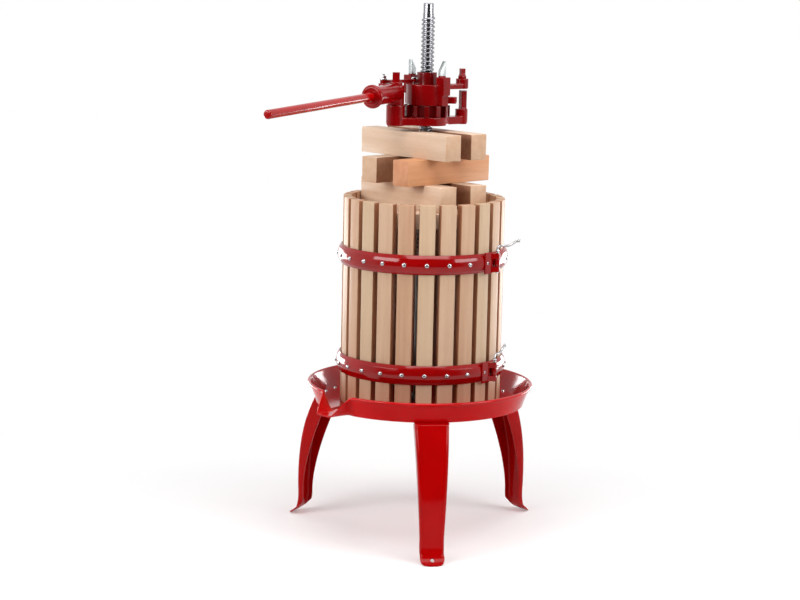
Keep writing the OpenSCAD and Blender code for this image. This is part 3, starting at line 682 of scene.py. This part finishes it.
def legSection(point):
    # Across and inward offsets from the leg's middle to its right flange's edge
    shape = legShape
    half = halfWidth(point)
    radius = min(shape["bendR"], half / 2)
    rise = (point[1] - shape["flangeEndZ"]) / (shape["flangeFullZ"] - shape["flangeEndZ"])
    turned = smoothStep(rise) * smoothStep((shape["topZ"] - point[1]) / shape["topBendR"])
    depth = flangeDepth(point[1])
    bent = [(radius * math.sin(a), radius * (1 - math.cos(a))) for a in (
        math.radians(90 * k / shape["bendSteps"]) for k in range(shape["bendSteps"] + 1)
    )]
    bent += [(radius, radius + (depth - radius) * share) for share in (0.5, 1)]
    section = [(0, 0), ((half - radius) / 2, 0)]
    for k, (across, inward) in enumerate(bent):
        flat = radius * k / (len(bent) - 1)
        section.append((half - radius + flat + (across - flat) * turned, inward * turned))
    return section


def addLeg(name, node, az):
    shape = legShape
    bm = bmesh.new()
    path = legPath()
    sections = [legSection(point) for point in path]
    count = len(sections[0])
    order = [(-1, k) for k in range(count - 1, 0, -1)] + [(1, k) for k in range(count)]

    def place(i, side, k):
        across, inward = sections[i][k]
        return path[i][0] - inward, side * across, path[i][1]

    number = bm.verts.layers.int.new("number")
    row = [bm.verts.new(place(i, *order[0])) for i in range(len(path))]
    edges = [bm.edges.new(pair) for pair in zip(row, row[1:])]
    for i, vert in enumerate(row):
        vert[number] = i
    for side, k in order[1:]:
        # The next line of the sheet, drawn out from the last one
        made = bmesh.ops.extrude_edge_only(bm, edges=edges)["geom"]
        fresh = {g for g in made if isinstance(g, bmesh.types.BMVert)}
        edges = [g for g in made if isinstance(g, bmesh.types.BMEdge) and fresh.issuperset(g.verts)]
        for vert in fresh:
            vert.co = place(vert[number], side, k)
    bmesh.ops.recalc_face_normals(bm, faces=bm.faces)
    # The middle of the shin has to look outwards, because the sheet gets its thickness inwards
    low, high = shape["shinSpan"]
    shins = (f for f in bm.faces if low < f.calc_center_median().z < high)
    front = min(shins, key=lambda f: abs(f.calc_center_median().y))
    if front.normal.x < 0:
        bmesh.ops.reverse_faces(bm, faces=bm.faces)
    turnedTo(bm, facing(az))
    piece = keepPiece(bm, name, "frame", node, [legRed], 50, turnOut=False)
    thick = piece.modifiers.new("sheet", "SOLIDIFY")
    thick.thickness = shape["sheet"] * mm
    thick.offset = -1
    thick.use_even_offset = True
    edge = piece.modifiers.new("edges", "BEVEL")
    edge.width = shape["edge"] * mm
    edge.segments = 2
    edge.limit_method = "ANGLE"
    edge.angle_limit = math.radians(shape["edgeAngle"])
    hole = bmesh.new()
    holeR = shape["holeR"] * mm
    bmesh.ops.create_cone(
        hole, cap_ends=True, segments=32, radius1=holeR, radius2=holeR, depth=shape["holeCut"] * mm
    )
    turnedTo(hole, facing(az), moved(shape["holeAt"] * mm, 0, 0))
    applied(piece)
    cutBy(piece, [objectFrom(hole, "hole")])


for number, side in enumerate(("front", "right", "left")):
    addLeg(f"{side}Leg", f"{side}_leg", legShape["firstAz"] + 120 * number)
print("legs made")

# Basket: slats, hoops, screws and clasp pins
basket = {
    "count": 12,
    "slatPitch": 15,
    "partAz": 55.3,
    "slatW": 37,
    "slatIn": 172,
    "slatOut": 192,
    "slatZ": 320,
    "slatTop": 813,
    "slatEdge": 1.3,
    "hoopHeights": {"upper": 675, "lower": 416},
    "hoopIn": 193.3,
    "hoopH": 45,
    "webH": 27,
    "webR": 203,
    "hoopT": 2.6,
    "hoopEnd": 0.8,
    "hoopSteps": 120,
    "lipOut": 2.5,
    "strapStart": 3,
    "strapAngle": 7,
    "strapH": 50,
    "strapT": 3,
    "armOut": 17,
    "crown": 2.2,
    "screwHeadR": 5,
    "screwHeadH": 3.6,
    "screwBrim": 1.4,
    "screwR": 2.5,
    "screwIn": 13,
    "recess": 5.2,
    "pinAt": 212,
    "pinR": 3,
    "knuckleR": 6,
    "knuckleMid": 9,
    "knuckleAll": 22,
}
halves = {"front": basket["partAz"] - 180, "rear": basket["partAz"]}


def slatAz(half, i):
    return halves[half] + basket["slatPitch"] * (i + 0.5)


def addSlat(half, i):
    shape = basket
    bm = bmesh.new()
    low = (shape["slatIn"], -shape["slatW"] / 2, shape["slatZ"])
    high = (shape["slatOut"], shape["slatW"] / 2, shape["slatTop"])
    addBlock(bm, low, high, shape["slatEdge"], 3)
    turnedTo(bm, facing(slatAz(half, i)))
    tone = slatBeeches[i * 5 % len(slatBeeches)]
    keepPiece(bm, f"{half}Slat{i + 1}", f"{half}_basket", f"{half}_slat_{i + 1}", [tone], 50)


def hoopProfile():
    # Flat lips at both edges and a raised web with a slight crown
    shape = basket
    top, mid = shape["hoopH"] / 2, shape["webH"] / 2
    inR, webR, thick = shape["hoopIn"], shape["webR"], shape["hoopT"]
    lip, shoulder = inR + shape["lipOut"], webR - shape["crown"]
    across = (10.5, 8, 5.5, 3, 0, -3, -5.5, -8, -10.5)
    crown = [(webR - shape["crown"] * (z / mid) ** 2, z, 0) for z in across]
    return roundedPath([
        (inR, top, 0.8), (lip, top, 1.2), (shoulder, mid + 1, 2.5), *crown, (shoulder, -mid - 1, 2.5),
        (lip, -top, 1.2), (inR, -top, 0.8), (inR, 2 - top, 0.6), (webR - thick - 2, 1 - mid, 1.5),
        (webR - thick - 2, mid - 1, 1.5), (inR, top - 2, 0.6),
    ], closed=True)


def addClaspEnd(bm, az, direction, half, z):
    # Strap along the hoop and the knuckles that the pin goes through
    shape = basket
    part = bmesh.new()
    webR, pinAt, knuckle = shape["webR"], shape["pinAt"], shape["knuckleR"]
    middle, end, bore = shape["knuckleMid"], shape["knuckleAll"], shape["pinR"] + 0.1
    strapHalf = shape["strapH"] / 2 if half == "front" else middle
    start = shape["strapStart"] if direction > 0 else -shape["strapStart"] - shape["strapAngle"]
    inside, outside = webR - 1, webR + shape["strapT"]
    strap = roundedPath([
        (inside, -strapHalf, 0.4), (outside, -strapHalf, 1.2), (outside, strapHalf, 1.2),
        (inside, strapHalf, 0.4),
    ], closed=True, steps=3)
    spun(part, addWire(part, strap, True), 6, shape["strapAngle"])
    closeEnds(part)
    turnedTo(part, Matrix.Rotation(math.radians(start), 4, "Z"))
    spans = [(-middle, middle)] if half == "rear" else [(middle + 0.3, end), (-end, -middle - 0.3)]
    for low, high in spans:
        knuckleBm = bmesh.new()
        outer = roundedPath([
            (bore, low, 0), (knuckle, low, 0.8), (knuckle, high, 0.8), (bore, high, 0),
        ], closed=True, steps=2)
        lathe(knuckleBm, outer, 32, closed=True)
        turnedTo(knuckleBm, moved(pinAt, 0, 0))
        arm = [
            (webR + 0.2, direction * shape["armOut"]), (webR + 2.8, direction * shape["armOut"]),
            (pinAt + knuckle * 0.75, direction * 4.2), (pinAt - knuckle * 0.5, direction * 3.2),
        ]
        solidFrom(knuckleBm, [(x, y, low) for x, y in arm], (0, 0, high - low))
        bmesh.ops.recalc_face_normals(knuckleBm, faces=knuckleBm.faces)
        addTo(part, knuckleBm)
    turnedTo(part, facing(az), moved(0, 0, z))
    addTo(bm, part)


def addHoop(half, level):
    shape = basket
    bm = bmesh.new()
    z = shape["hoopHeights"][level]
    spun(bm, addWire(bm, hoopProfile(), True), shape["hoopSteps"], 180 - 2 * shape["hoopEnd"])
    closeEnds(bm)
    turnedTo(bm, facing(halves[half] + shape["hoopEnd"]), moved(0, 0, z))
    addClaspEnd(bm, halves[half], 1, half, z)
    addClaspEnd(bm, halves[half] + 180, -1, half, z)
    name = f"{half}{level.capitalize()}Hoop"
    keepPiece(bm, name, f"{half}_basket", f"{half}_{level}_hoop", [hoopRed], 45)


def screwHeadMesh():
    # One pan head with a crossed recess, its axis along +X and its seat at the web
    shape = basket
    bm = bmesh.new()
    headR, brim, rodR = shape["screwHeadR"], shape["screwBrim"], shape["screwR"]
    domeH = shape["screwHeadH"] - brim
    dome = [(0, -shape["screwIn"]), (rodR, 2 - shape["screwIn"]), (rodR, 0), (headR, 0.1), (headR, brim)]
    for turn in (math.radians(a) for a in (20, 40, 60, 78)):
        dome.append((headR * math.cos(turn), brim + domeH * math.sin(turn)))
    dome.append((0, shape["screwHeadH"]))
    lathe(bm, dome, 20)
    bmesh.ops.recalc_face_normals(bm, faces=bm.faces)
    head = objectFrom(bm, "head")
    cutters = []
    for wide, deep in ((shape["recess"], 1), (1, shape["recess"])):
        slot = bmesh.new()
        addBlock(slot, (-wide / 2, -deep / 2, 1.9), (wide / 2, deep / 2, 5), 0.1, 1)
        cutters.append(objectFrom(slot, "slot"))
    cutBy(head, cutters)
    mesh = head.data
    bpy.data.objects.remove(head)
    return mesh


def addHoopScrews(half, headMesh):
    shape = basket
    bm = bmesh.new()
    for i in range(shape["count"]):
        for level, z in shape["hoopHeights"].items():
            before = len(bm.verts)
            bm.from_mesh(headMesh)
            bm.verts.ensure_lookup_table()
            # Each recess stands as it was left when the screw was driven in
            turn = Matrix.Rotation(math.radians(23 * i + (40 if level == "upper" else 5)), 4, "Z")
            lay = Matrix.Rotation(math.pi / 2, 4, "Y")
            matrix = facing(slatAz(half, i)) @ moved(shape["webR"], 0, z) @ lay @ turn
            bmesh.ops.transform(bm, matrix=matrix, verts=bm.verts[before:])
    keepPiece(bm, f"{half}HoopScrews", f"{half}_basket", f"{half}_hoop_screws", [zincPlate], 35)


pinShape = {
    "grip": ((0, 24), (0, 34), (6, 40), (18, 40), (30, 43), (42, 51), (52, 54)),
    "gripR": 2.7,
    "turns": {"rightUpper": 20, "rightLower": 95, "leftUpper": -60, "leftLower": -60},
    "tipR": 3.9,
    "eyeR": 4.6,
    "eyeFlat": 0.75,
    "eyeUp": 6,
    "collarOut": 1.2,
    "collarUp": 2.3,
    "rodTop": 28,
}


def addPin(name, node, az, z, turn):
    # Straight rod with a wavy grip: a tube along its own path
    shape = pinShape
    curve = bpy.data.curves.new(name, "CURVE")
    curve.dimensions = "3D"
    curve.bevel_depth = shape["gripR"]
    curve.bevel_resolution = 5
    curve.resolution_u = 8
    curve.use_fill_caps = True
    line = curve.splines.new("BEZIER")
    line.bezier_points.add(len(shape["grip"]) - 1)
    for point, (x, height) in zip(line.bezier_points, shape["grip"]):
        point.co = (x, 0, height)
        point.handle_left_type = point.handle_right_type = "AUTO"
    tube = bpy.data.objects.new(name, curve)
    bpy.context.scene.collection.objects.link(tube)
    graph = bpy.context.evaluated_depsgraph_get()
    mesh = bpy.data.meshes.new_from_object(tube.evaluated_get(graph))
    bm = bmesh.new()
    bm.from_mesh(mesh)
    bpy.data.objects.remove(tube)
    endX, endZ = shape["grip"][-1]
    ball = bmesh.ops.create_uvsphere(bm, u_segments=16, v_segments=10, radius=shape["tipR"])["verts"]
    bmesh.ops.translate(bm, vec=(endX - 1, 0, endZ + 0.6), verts=ball)
    eye = bmesh.ops.create_uvsphere(bm, u_segments=20, v_segments=12, radius=shape["eyeR"])["verts"]
    pinR, reach = basket["pinR"], basket["knuckleAll"]
    bmesh.ops.scale(bm, vec=(1, 1, shape["eyeFlat"]), verts=eye)
    bmesh.ops.translate(bm, vec=(0, 0, reach + shape["eyeUp"]), verts=eye)
    turnedTo(bm, Matrix.Rotation(math.radians(turn), 4, "Z"))
    collarR, collarTop, rodTop = pinR + shape["collarOut"], reach + shape["collarUp"], shape["rodTop"]
    rod = roundedPath([
        (0, -reach - 3, 0), (pinR, -reach - 3, 1), (pinR, reach + 0.3, 0), (collarR, reach + 0.3, 0.5),
        (collarR, collarTop, 0.6), (pinR, collarTop, 0), (pinR, rodTop, 1), (0, rodTop + 0.6, 0),
    ], steps=3)
    lathe(bm, rod, 24)
    turnedTo(bm, facing(az), moved(basket["pinAt"], 0, z))
    keepPiece(bm, name, node, node, [zincPlate])


headMesh = screwHeadMesh()
for half in halves:
    for i in range(basket["count"]):
        addSlat(half, i)
    for level in basket["hoopHeights"]:
        addHoop(half, level)
    addHoopScrews(half, headMesh)
for side, az in (("right", basket["partAz"]), ("left", basket["partAz"] - 180)):
    for level, z in basket["hoopHeights"].items():
        pin = side + level.capitalize()
        addPin(f"{pin}Pin", f"{side}_{level}_pin", az, z, pinShape["turns"][pin])
print("basket made")

# Press plates and blocks
stack = {
    "plateR": 168,
    "plateT": 35,
    "plateZ": 755,
    "plateTurn": -47.5,
    "plateGap": 1,
    "screwClear": 17,
    "blockH": 60,
    "blockW": 49,
    "edge": 1.4,
    "rimEdge": 1.5,
    # level, gap across the screw, shift and length of the blocks
    "layers": {"bottom": (0, 43, -6, 297), "middle": (1, 54, 4, 278), "top": (2, 32.6, -8, 297)},
}
blocks = {
    # layer, place: side of the screw, material, slot
    ("top", "front"): (-1, topBeech, "beech"),
    ("top", "rear"): (1, topBeech, "beech"),
    ("middle", "left"): (1, leftBeech, "beech"),
    ("middle", "right"): (-1, rightBeech, "dark_beech"),
    ("bottom", "front"): (-1, lowBeech, "beech"),
    ("bottom", "rear"): (1, lowBeech, "beech"),
}


def addBeechBlock(layer, place, side, material, slot):
    shape = stack
    level, gap, shift, length = shape["layers"][layer]
    bm = bmesh.new()
    near = gap / 2 if side > 0 else -gap / 2 - shape["blockW"]
    low = (shift - length / 2, near, 0)
    high = (shift + length / 2, near + shape["blockW"], shape["blockH"])
    addBlock(bm, low, high, shape["edge"], 2)
    # The side along the screw, down in the gap between the blocks, gets a painted shade
    for face in bm.faces:
        face.material_index = 1 if -side * face.normal.y > 0.9 else 2 if abs(face.normal.x) > 0.9 else 0
    z = shape["plateZ"] + shape["plateT"] + level * shape["blockH"]
    turnedTo(bm, moved(0, 0, z), Matrix.Rotation(math.radians(layerTurns[layer]), 4, "Z"))
    name, node = f"{layer}{place.capitalize()}Block", f"{layer}_{place}_block"
    keepPiece(bm, name, "press_stack", node, [material, gapShadeBeech, endGrains[slot]], 50)


def arcPoints(radius, start, sweep, steps):
    turns = (math.radians(start + sweep * k / steps) for k in range(steps + 1))
    return [(radius * math.cos(turn), radius * math.sin(turn)) for turn in turns]


def addPlate(name, node, side):
    # Half-moon board with a notch for the screw, a hair away from its other half
    shape = stack
    bm = bmesh.new()
    start = math.degrees(math.asin(shape["plateGap"] / 2 / shape["plateR"]))
    arc = arcPoints(shape["plateR"], start, 180 - 2 * start, 72)
    bite = arcPoints(shape["screwClear"], 178, -176, 16)
    solidFrom(bm, [(x, y, 0) for x, y in arc + bite], (0, 0, shape["plateT"]))
    bmesh.ops.recalc_face_normals(bm, faces=bm.faces)
    rims = [e for e in sharpEdges(bm, 60) if abs(e.verts[0].co.z - e.verts[1].co.z) < 1]
    soften(bm, shape["rimEdge"], 2, edges=rims)
    turn = shape["plateTurn"] + (0 if side > 0 else 180)
    turnedTo(bm, moved(0, 0, shape["plateZ"]), Matrix.Rotation(math.radians(turn), 4, "Z"))
    keepPiece(bm, name, "press_stack", node, [topBeech], 50)


for spot, values in blocks.items():
    addBeechBlock(*spot, *values)
addPlate("frontPressPlate", "front_press_plate", -1)
addPlate("rearPressPlate", "rear_press_plate", 1)
print("press stack made")

# Screw: flange, shank, rolled thread and plain tip
screwShape = {
    "top": 1270,
    "radius": 16,
    "depth": 3,
    "lead": 10,
    "threadZ": 640,
    "tipL": 24,
    "tipR": 12,
    "studR": 12,
    "flangeR": 28,
    "flangeT": 12,
    "studDown": 28,
    "turnSteps": 28,
    # Up to this height the screw gets the basket's painted shade
    "basketShadeTo": 830,
    # (height from the groove, below the crest) of one turn's rolled flank
    "flank": ((0.5, 2.65), (1.9, 0.45), (2.5, 0)),
    "crestEnd": 7.6,
}


def addThread(bm, threadEnd):
    # One turn's profile is carried up the screw, and each turn meets the next
    shape = screwShape
    radius, root, threadZ = shape["radius"], shape["radius"] - shape["depth"], shape["threadZ"]
    turns = math.floor((threadEnd - threadZ) / shape["lead"]) - 1
    end = shape["crestEnd"]
    rolled = [(z, radius - low) for z, low in shape["flank"]]
    groove = [(0, root), *rolled, *((end - z, r) for z, r in reversed(rolled)), (end, root)]
    groove.append((shape["lead"], root))
    thread = bmesh.new()
    wire = addWire(thread, [(r, threadZ + 1 + z) for z, r in groove])
    spun(thread, wire, shape["turnSteps"] * turns, 360 * turns, shape["lead"] / shape["turnSteps"])
    bmesh.ops.remove_doubles(thread, verts=thread.verts, dist=1e-3)
    closeEnds(thread)
    bmesh.ops.recalc_face_normals(thread, faces=thread.faces)
    # On so long a thread that can leave the crests looking inwards
    crest = max(thread.faces, key=lambda f: f.calc_center_median().xy.length)
    if crest.normal.xy.dot(crest.calc_center_median().xy) < 0:
        bmesh.ops.reverse_faces(thread, faces=thread.faces)
    addTo(bm, thread)


def addScrew():
    shape = screwShape
    bm = bmesh.new()
    floorZ, flangeR, studR = trayShape["floorZ"], shape["flangeR"], shape["studR"]
    foot, flangeTop = floorZ - trayShape["sheet"] - shape["studDown"], floorZ + shape["flangeT"]
    radius, root = shape["radius"], shape["radius"] - shape["depth"]
    threadZ, top, tipR = shape["threadZ"], shape["top"], shape["tipR"]
    threadEnd = top - shape["tipL"]
    shank = roundedPath([
        (0, foot, 0), (studR, foot, 1.5), (studR, floorZ, 0), (flangeR, floorZ, 1), (flangeR, flangeTop, 2),
        (radius, flangeTop, 2), (radius, threadZ - 2, 0), (root, threadZ + 3, 0), (0, threadZ + 3, 0),
    ], steps=4)
    lathe(bm, shank)
    tipFoot = threadEnd - 2
    tip = roundedPath([(0, tipFoot, 0), (tipR, tipFoot, 0), (tipR, top, 1.5), (0, top, 0)], steps=3)
    lathe(bm, tip)
    core = [(0, threadZ + 1), (root - 0.2, threadZ + 1), (root - 0.2, threadEnd), (0, threadEnd)]
    lathe(bm, core)
    bmesh.ops.recalc_face_normals(bm, faces=bm.faces)
    addThread(bm, threadEnd)
    # The part that stands inside the basket is dark and dull: painted shade of the basket's inside
    for face in bm.faces:
        face.material_index = 1 if face.calc_center_median().z < shape["basketShadeTo"] else 0
    steels = [turnedSteel, basketShadeSteel]
    keepPiece(bm, "pressScrew", "frame", "screw", steels, 32, turnOut=False)


addScrew()
print("screw made")

# Head: the castings are rounded copies of their solids
castings = {
    # node: piece, body, materials, voxel, smoothing rounds, share of faces kept
    "thrust_body": ("thrustBody", "thrust_head", [castRed], 1.0, 7, 0.45),
    "ratchet_nut": ("ratchetNut", "ratchet_nut", [wheelRed], 0.9, 4, 0.45),
    "pawl_ring": ("pawlDrum", "pawl_ring", [castRed], 0.9, 6, 0.4),
    "lever_socket": ("leverSocket", "lever", [castRed], 0.9, 7, 0.45),
    "drive_link": ("driveLink", "drive_link", [castRed], 0.6, 4, 0.45),
    "pivot_bolts": ("pivotBolts", "lever", [castRed, zincPlate], 0.55, 3, 0.4),
    "ring_bolts": ("ringBolts", "pawl_ring", [castRed, zincPlate], 0.55, 3, 0.4),
}
# Where the lever's pivot and the link's ear stand, and how far round them a bolt is painted
pivotSpot = facing(-56) @ Vector((87, 0, 0))
earSpot = facing(118) @ Vector((95, 0, 0))
painted = {"pivot_bolts": pivotSpot, "ring_bolts": earSpot}
paintedR = 17


def castCopy(node, name, voxel, rounds, share):
    # The node's surface is merged, remeshed evenly and smoothed, so its edges turn round like a casting's
    bm = bmesh.new()
    bm.from_mesh(nodes[node].data)
    bmesh.ops.remove_doubles(bm, verts=bm.verts, dist=1e-6)
    piece = objectFrom(bm, name)
    even = piece.modifiers.new("even", "REMESH")
    even.mode = "VOXEL"
    even.voxel_size = voxel * mm
    soft = piece.modifiers.new("soft", "SMOOTH")
    soft.factor = 0.5
    soft.iterations = rounds
    thin = piece.modifiers.new("thin", "DECIMATE")
    thin.ratio = share
    applied(piece)
    piece.data.shade_smooth()
    return piece


for node, (name, body, materials, voxel, rounds, share) in castings.items():
    piece = castCopy(node, name, voxel, rounds, share)
    dress(piece, body, node, materials)
    if node in painted:
        for face in piece.data.polygons:
            away = (face.center - painted[node] * mm).to_2d().length
            face.material_index = 0 if away < paintedR * mm else 1
print("castings made")

pawlShape = {
    "width": 16,
    "depth": 10,
    "inR": 44,
    "foot": 1032.5,
    "footCut": 10,
    "top": 1136,
    "topFlat": 2,
    "slant": 22,
    "edge": 0.8,
    "painted": 1102,
    "azimuths": {"right": 46, "left": 226},
}


def addPawl(name, node, az):
    shape = pawlShape
    half, foot, top, cut = shape["width"] / 2, shape["foot"], shape["top"], shape["footCut"]
    outline = [
        (-half, foot), (half - cut, foot), (half, foot + cut), (half, top), (half - shape["topFlat"], top),
        (-half, top - shape["slant"]),
    ]
    bm = bmesh.new()
    solidFrom(bm, [(x, 0, z) for x, z in outline], (0, shape["depth"], 0))
    soften(bm, shape["edge"], 2)
    # The lower part is painted with its guide
    bmesh.ops.bisect_plane(
        bm, geom=bm.verts[:] + bm.edges[:] + bm.faces[:], dist=1e-5,
        plane_co=(0, 0, shape["painted"]), plane_no=(0, 0, 1),
    )
    for face in bm.faces:
        face.material_index = 1 if face.calc_center_median().z < shape["painted"] else 0
    # The outline's X runs across and its depth runs outwards
    swap = Matrix(((0, 1, 0, shape["inR"]), (1, 0, 0, 0), (0, 0, 1, 0), (0, 0, 0, 1)))
    turnedTo(bm, facing(az), swap)
    keepPiece(bm, name, node, node, [pawlSteel, castRed], 35)


for side, az in pawlShape["azimuths"].items():
    addPawl(f"{side}Pawl", f"{side}_pawl", az)

handle = {
    "radius": 10,
    "start": 52,
    "reach": 599,
    "az": -26,
    "drop": 1.5,
    "z": 1061,
    "endRound": 4,
}


def addHandle():
    # Round bar with a softly rounded end
    shape = handle
    bm = bmesh.new()
    length = shape["reach"] - shape["start"]
    bar = roundedPath([
        (0, 0, 0), (shape["radius"], 0, 1), (shape["radius"], length, shape["endRound"]), (0, length, 0),
    ], steps=6)
    lathe(bm, bar)
    lay = Matrix.Rotation(math.radians(90 + shape["drop"]), 4, "Y")
    atPivot = moved(pivotSpot.x, pivotSpot.y, shape["z"])
    turnedTo(bm, atPivot, facing(shape["az"]), lay, moved(0, 0, shape["start"]))
    keepPiece(bm, "handleBar", "handle_bar", "handle_bar", [barRed])


addHandle()
print("head made")

# Small turned and bought parts keep their solids
kept = {"leg_bolts": zincPlate, "screw_lock_nut": zincPlate, "thrust_washer": washerBronze}
for node, material in kept.items():
    nodes[node].data.materials.clear()
    nodes[node].data.materials.append(material)

# Floor, background and lamps
studio = {
    "floorR": 2.4,
    "floorColour": (0.8, 0.8, 0.8),
    "floorLift": 0.2,
    "fadeFrom": 0.5,
    "fadeTo": 1.5,
    "worldStrength": 0.14,
    # what gloss sees in the room: (how far behind the press, from -1 to 1) and the strength
    "room": ((-1, 0.04), (-0.6, 0.08), (-0.4, 0.75), (0, 1)),
    # name: azimuth, distance, height, width, tall, watts
    "lamps": {
        "left": (-50, 2.6, 1.55, 1.7, 0.9, 42),
        "right": (60, 2.6, 1.55, 1.6, 0.9, 36),
        "top": (10, 0.9, 3.2, 2.2, 1.8, 58),
        "rimLeft": (-138, 2.5, 0.4, 1.5, 0.62, 33),
        "rimRight": (138, 2.5, 0.4, 1.5, 0.62, 33),
    },
    "lampAim": (0, 0, 0.65),
}


def mixShaders(tree, factor, first, second):
    mix = addNode(tree, "ShaderNodeMixShader")
    for socket, source in zip(mix.inputs, (factor, first, second)):
        tree.links.new(source, socket)
    return mix.outputs[0]


def addFloor():
    # A disc that turns to plain white away from the press, and keeps its shadow near it
    bm = bmesh.new()
    bmesh.ops.create_circle(bm, cap_ends=True, segments=64, radius=studio["floorR"])
    floor = objectFrom(bm, "floor")
    material, tree, shader = startMaterial("floor")
    shader.inputs["Base Color"].default_value = (*studio["floorColour"], 1)
    shader.inputs["Roughness"].default_value = 0.9
    shader.inputs["Specular IOR Level"].default_value = 0
    # The camera, metal and glass all see the same pale floor
    rays = addNode(tree, "ShaderNodeLightPath").outputs
    shown = rays["Is Camera Ray"]
    for ray in ("Is Glossy Ray", "Is Transmission Ray"):
        shown = addMath(tree, "Math", "MAXIMUM", shown, rays[ray])
    lift = addMath(tree, "Math", "MULTIPLY", shown, studio["floorLift"])
    shader.inputs["Emission Color"].default_value = (1, 1, 1, 1)
    tree.links.new(lift, shader.inputs["Emission Strength"])
    place = addNode(tree, "ShaderNodeTexCoord")
    away = addMath(tree, "VectorMath", "LENGTH", place.outputs["Object"])
    fade = addRange(tree, away, 0, 1, studio["fadeFrom"], studio["fadeTo"])
    white = addNode(tree, "ShaderNodeEmission", Color=(1, 1, 1, 1), Strength=1)
    seen = addMath(tree, "Math", "MULTIPLY", fade, shown)
    surface = mixShaders(tree, seen, shader.outputs[0], white.outputs[0])
    tree.links.new(surface, tree.nodes["Material Output"].inputs["Surface"])
    floor.data.materials.append(material)


def addWorld():
    # Plain fill light; the camera sees white, and gloss sees a white room that is dark on the front side
    world = bpy.data.worlds.new("studio")
    bpy.context.scene.world = world
    world.use_nodes = True
    tree = world.node_tree
    plain = tree.nodes["Background"]
    plain.inputs["Color"].default_value = (1, 1, 1, 1)
    plain.inputs["Strength"].default_value = studio["worldStrength"]
    direction = addNode(tree, "ShaderNodeTexCoord")
    parts = addNode(tree, "ShaderNodeSeparateXYZ")
    tree.links.new(direction.outputs["Generated"], parts.inputs[0])
    behind = addRange(tree, parts.outputs["Y"], 0, 1, -1, 1)
    stops = [((far + 1) / 2, (bright, bright, bright)) for far, bright in studio["room"]]
    room = addNode(tree, "ShaderNodeBackground", Strength=1)
    tree.links.new(addRamp(tree, behind, *stops), room.inputs["Color"])
    white = addNode(tree, "ShaderNodeBackground", Color=(1, 1, 1, 1), Strength=1)
    rays = addNode(tree, "ShaderNodeLightPath")
    surface = plain.outputs[0]
    for ray, sky in (("Is Glossy Ray", room), ("Is Transmission Ray", white), ("Is Camera Ray", white)):
        surface = mixShaders(tree, rays.outputs[ray], surface, sky.outputs[0])
    tree.links.new(surface, tree.nodes["World Output"].inputs["Surface"])


def addLamps():
    for name, (az, distance, height, wide, tall, watts) in studio["lamps"].items():
        data = bpy.data.lights.new(name, "AREA")
        data.shape = "RECTANGLE"
        data.size, data.size_y, data.energy = wide, tall, watts
        lamp = bpy.data.objects.new(name, data)
        place = facing(az) @ Vector((distance, 0, height))
        lamp.location = place
        lamp.rotation_mode = "QUATERNION"
        lamp.rotation_quaternion = (Vector(studio["lampAim"]) - place).to_track_quat("-Z", "Y")
        bpy.context.scene.collection.objects.link(lamp)


addFloor()
addWorld()
addLamps()
bpy.context.scene.view_settings.view_transform = "Standard"
print("studio made")
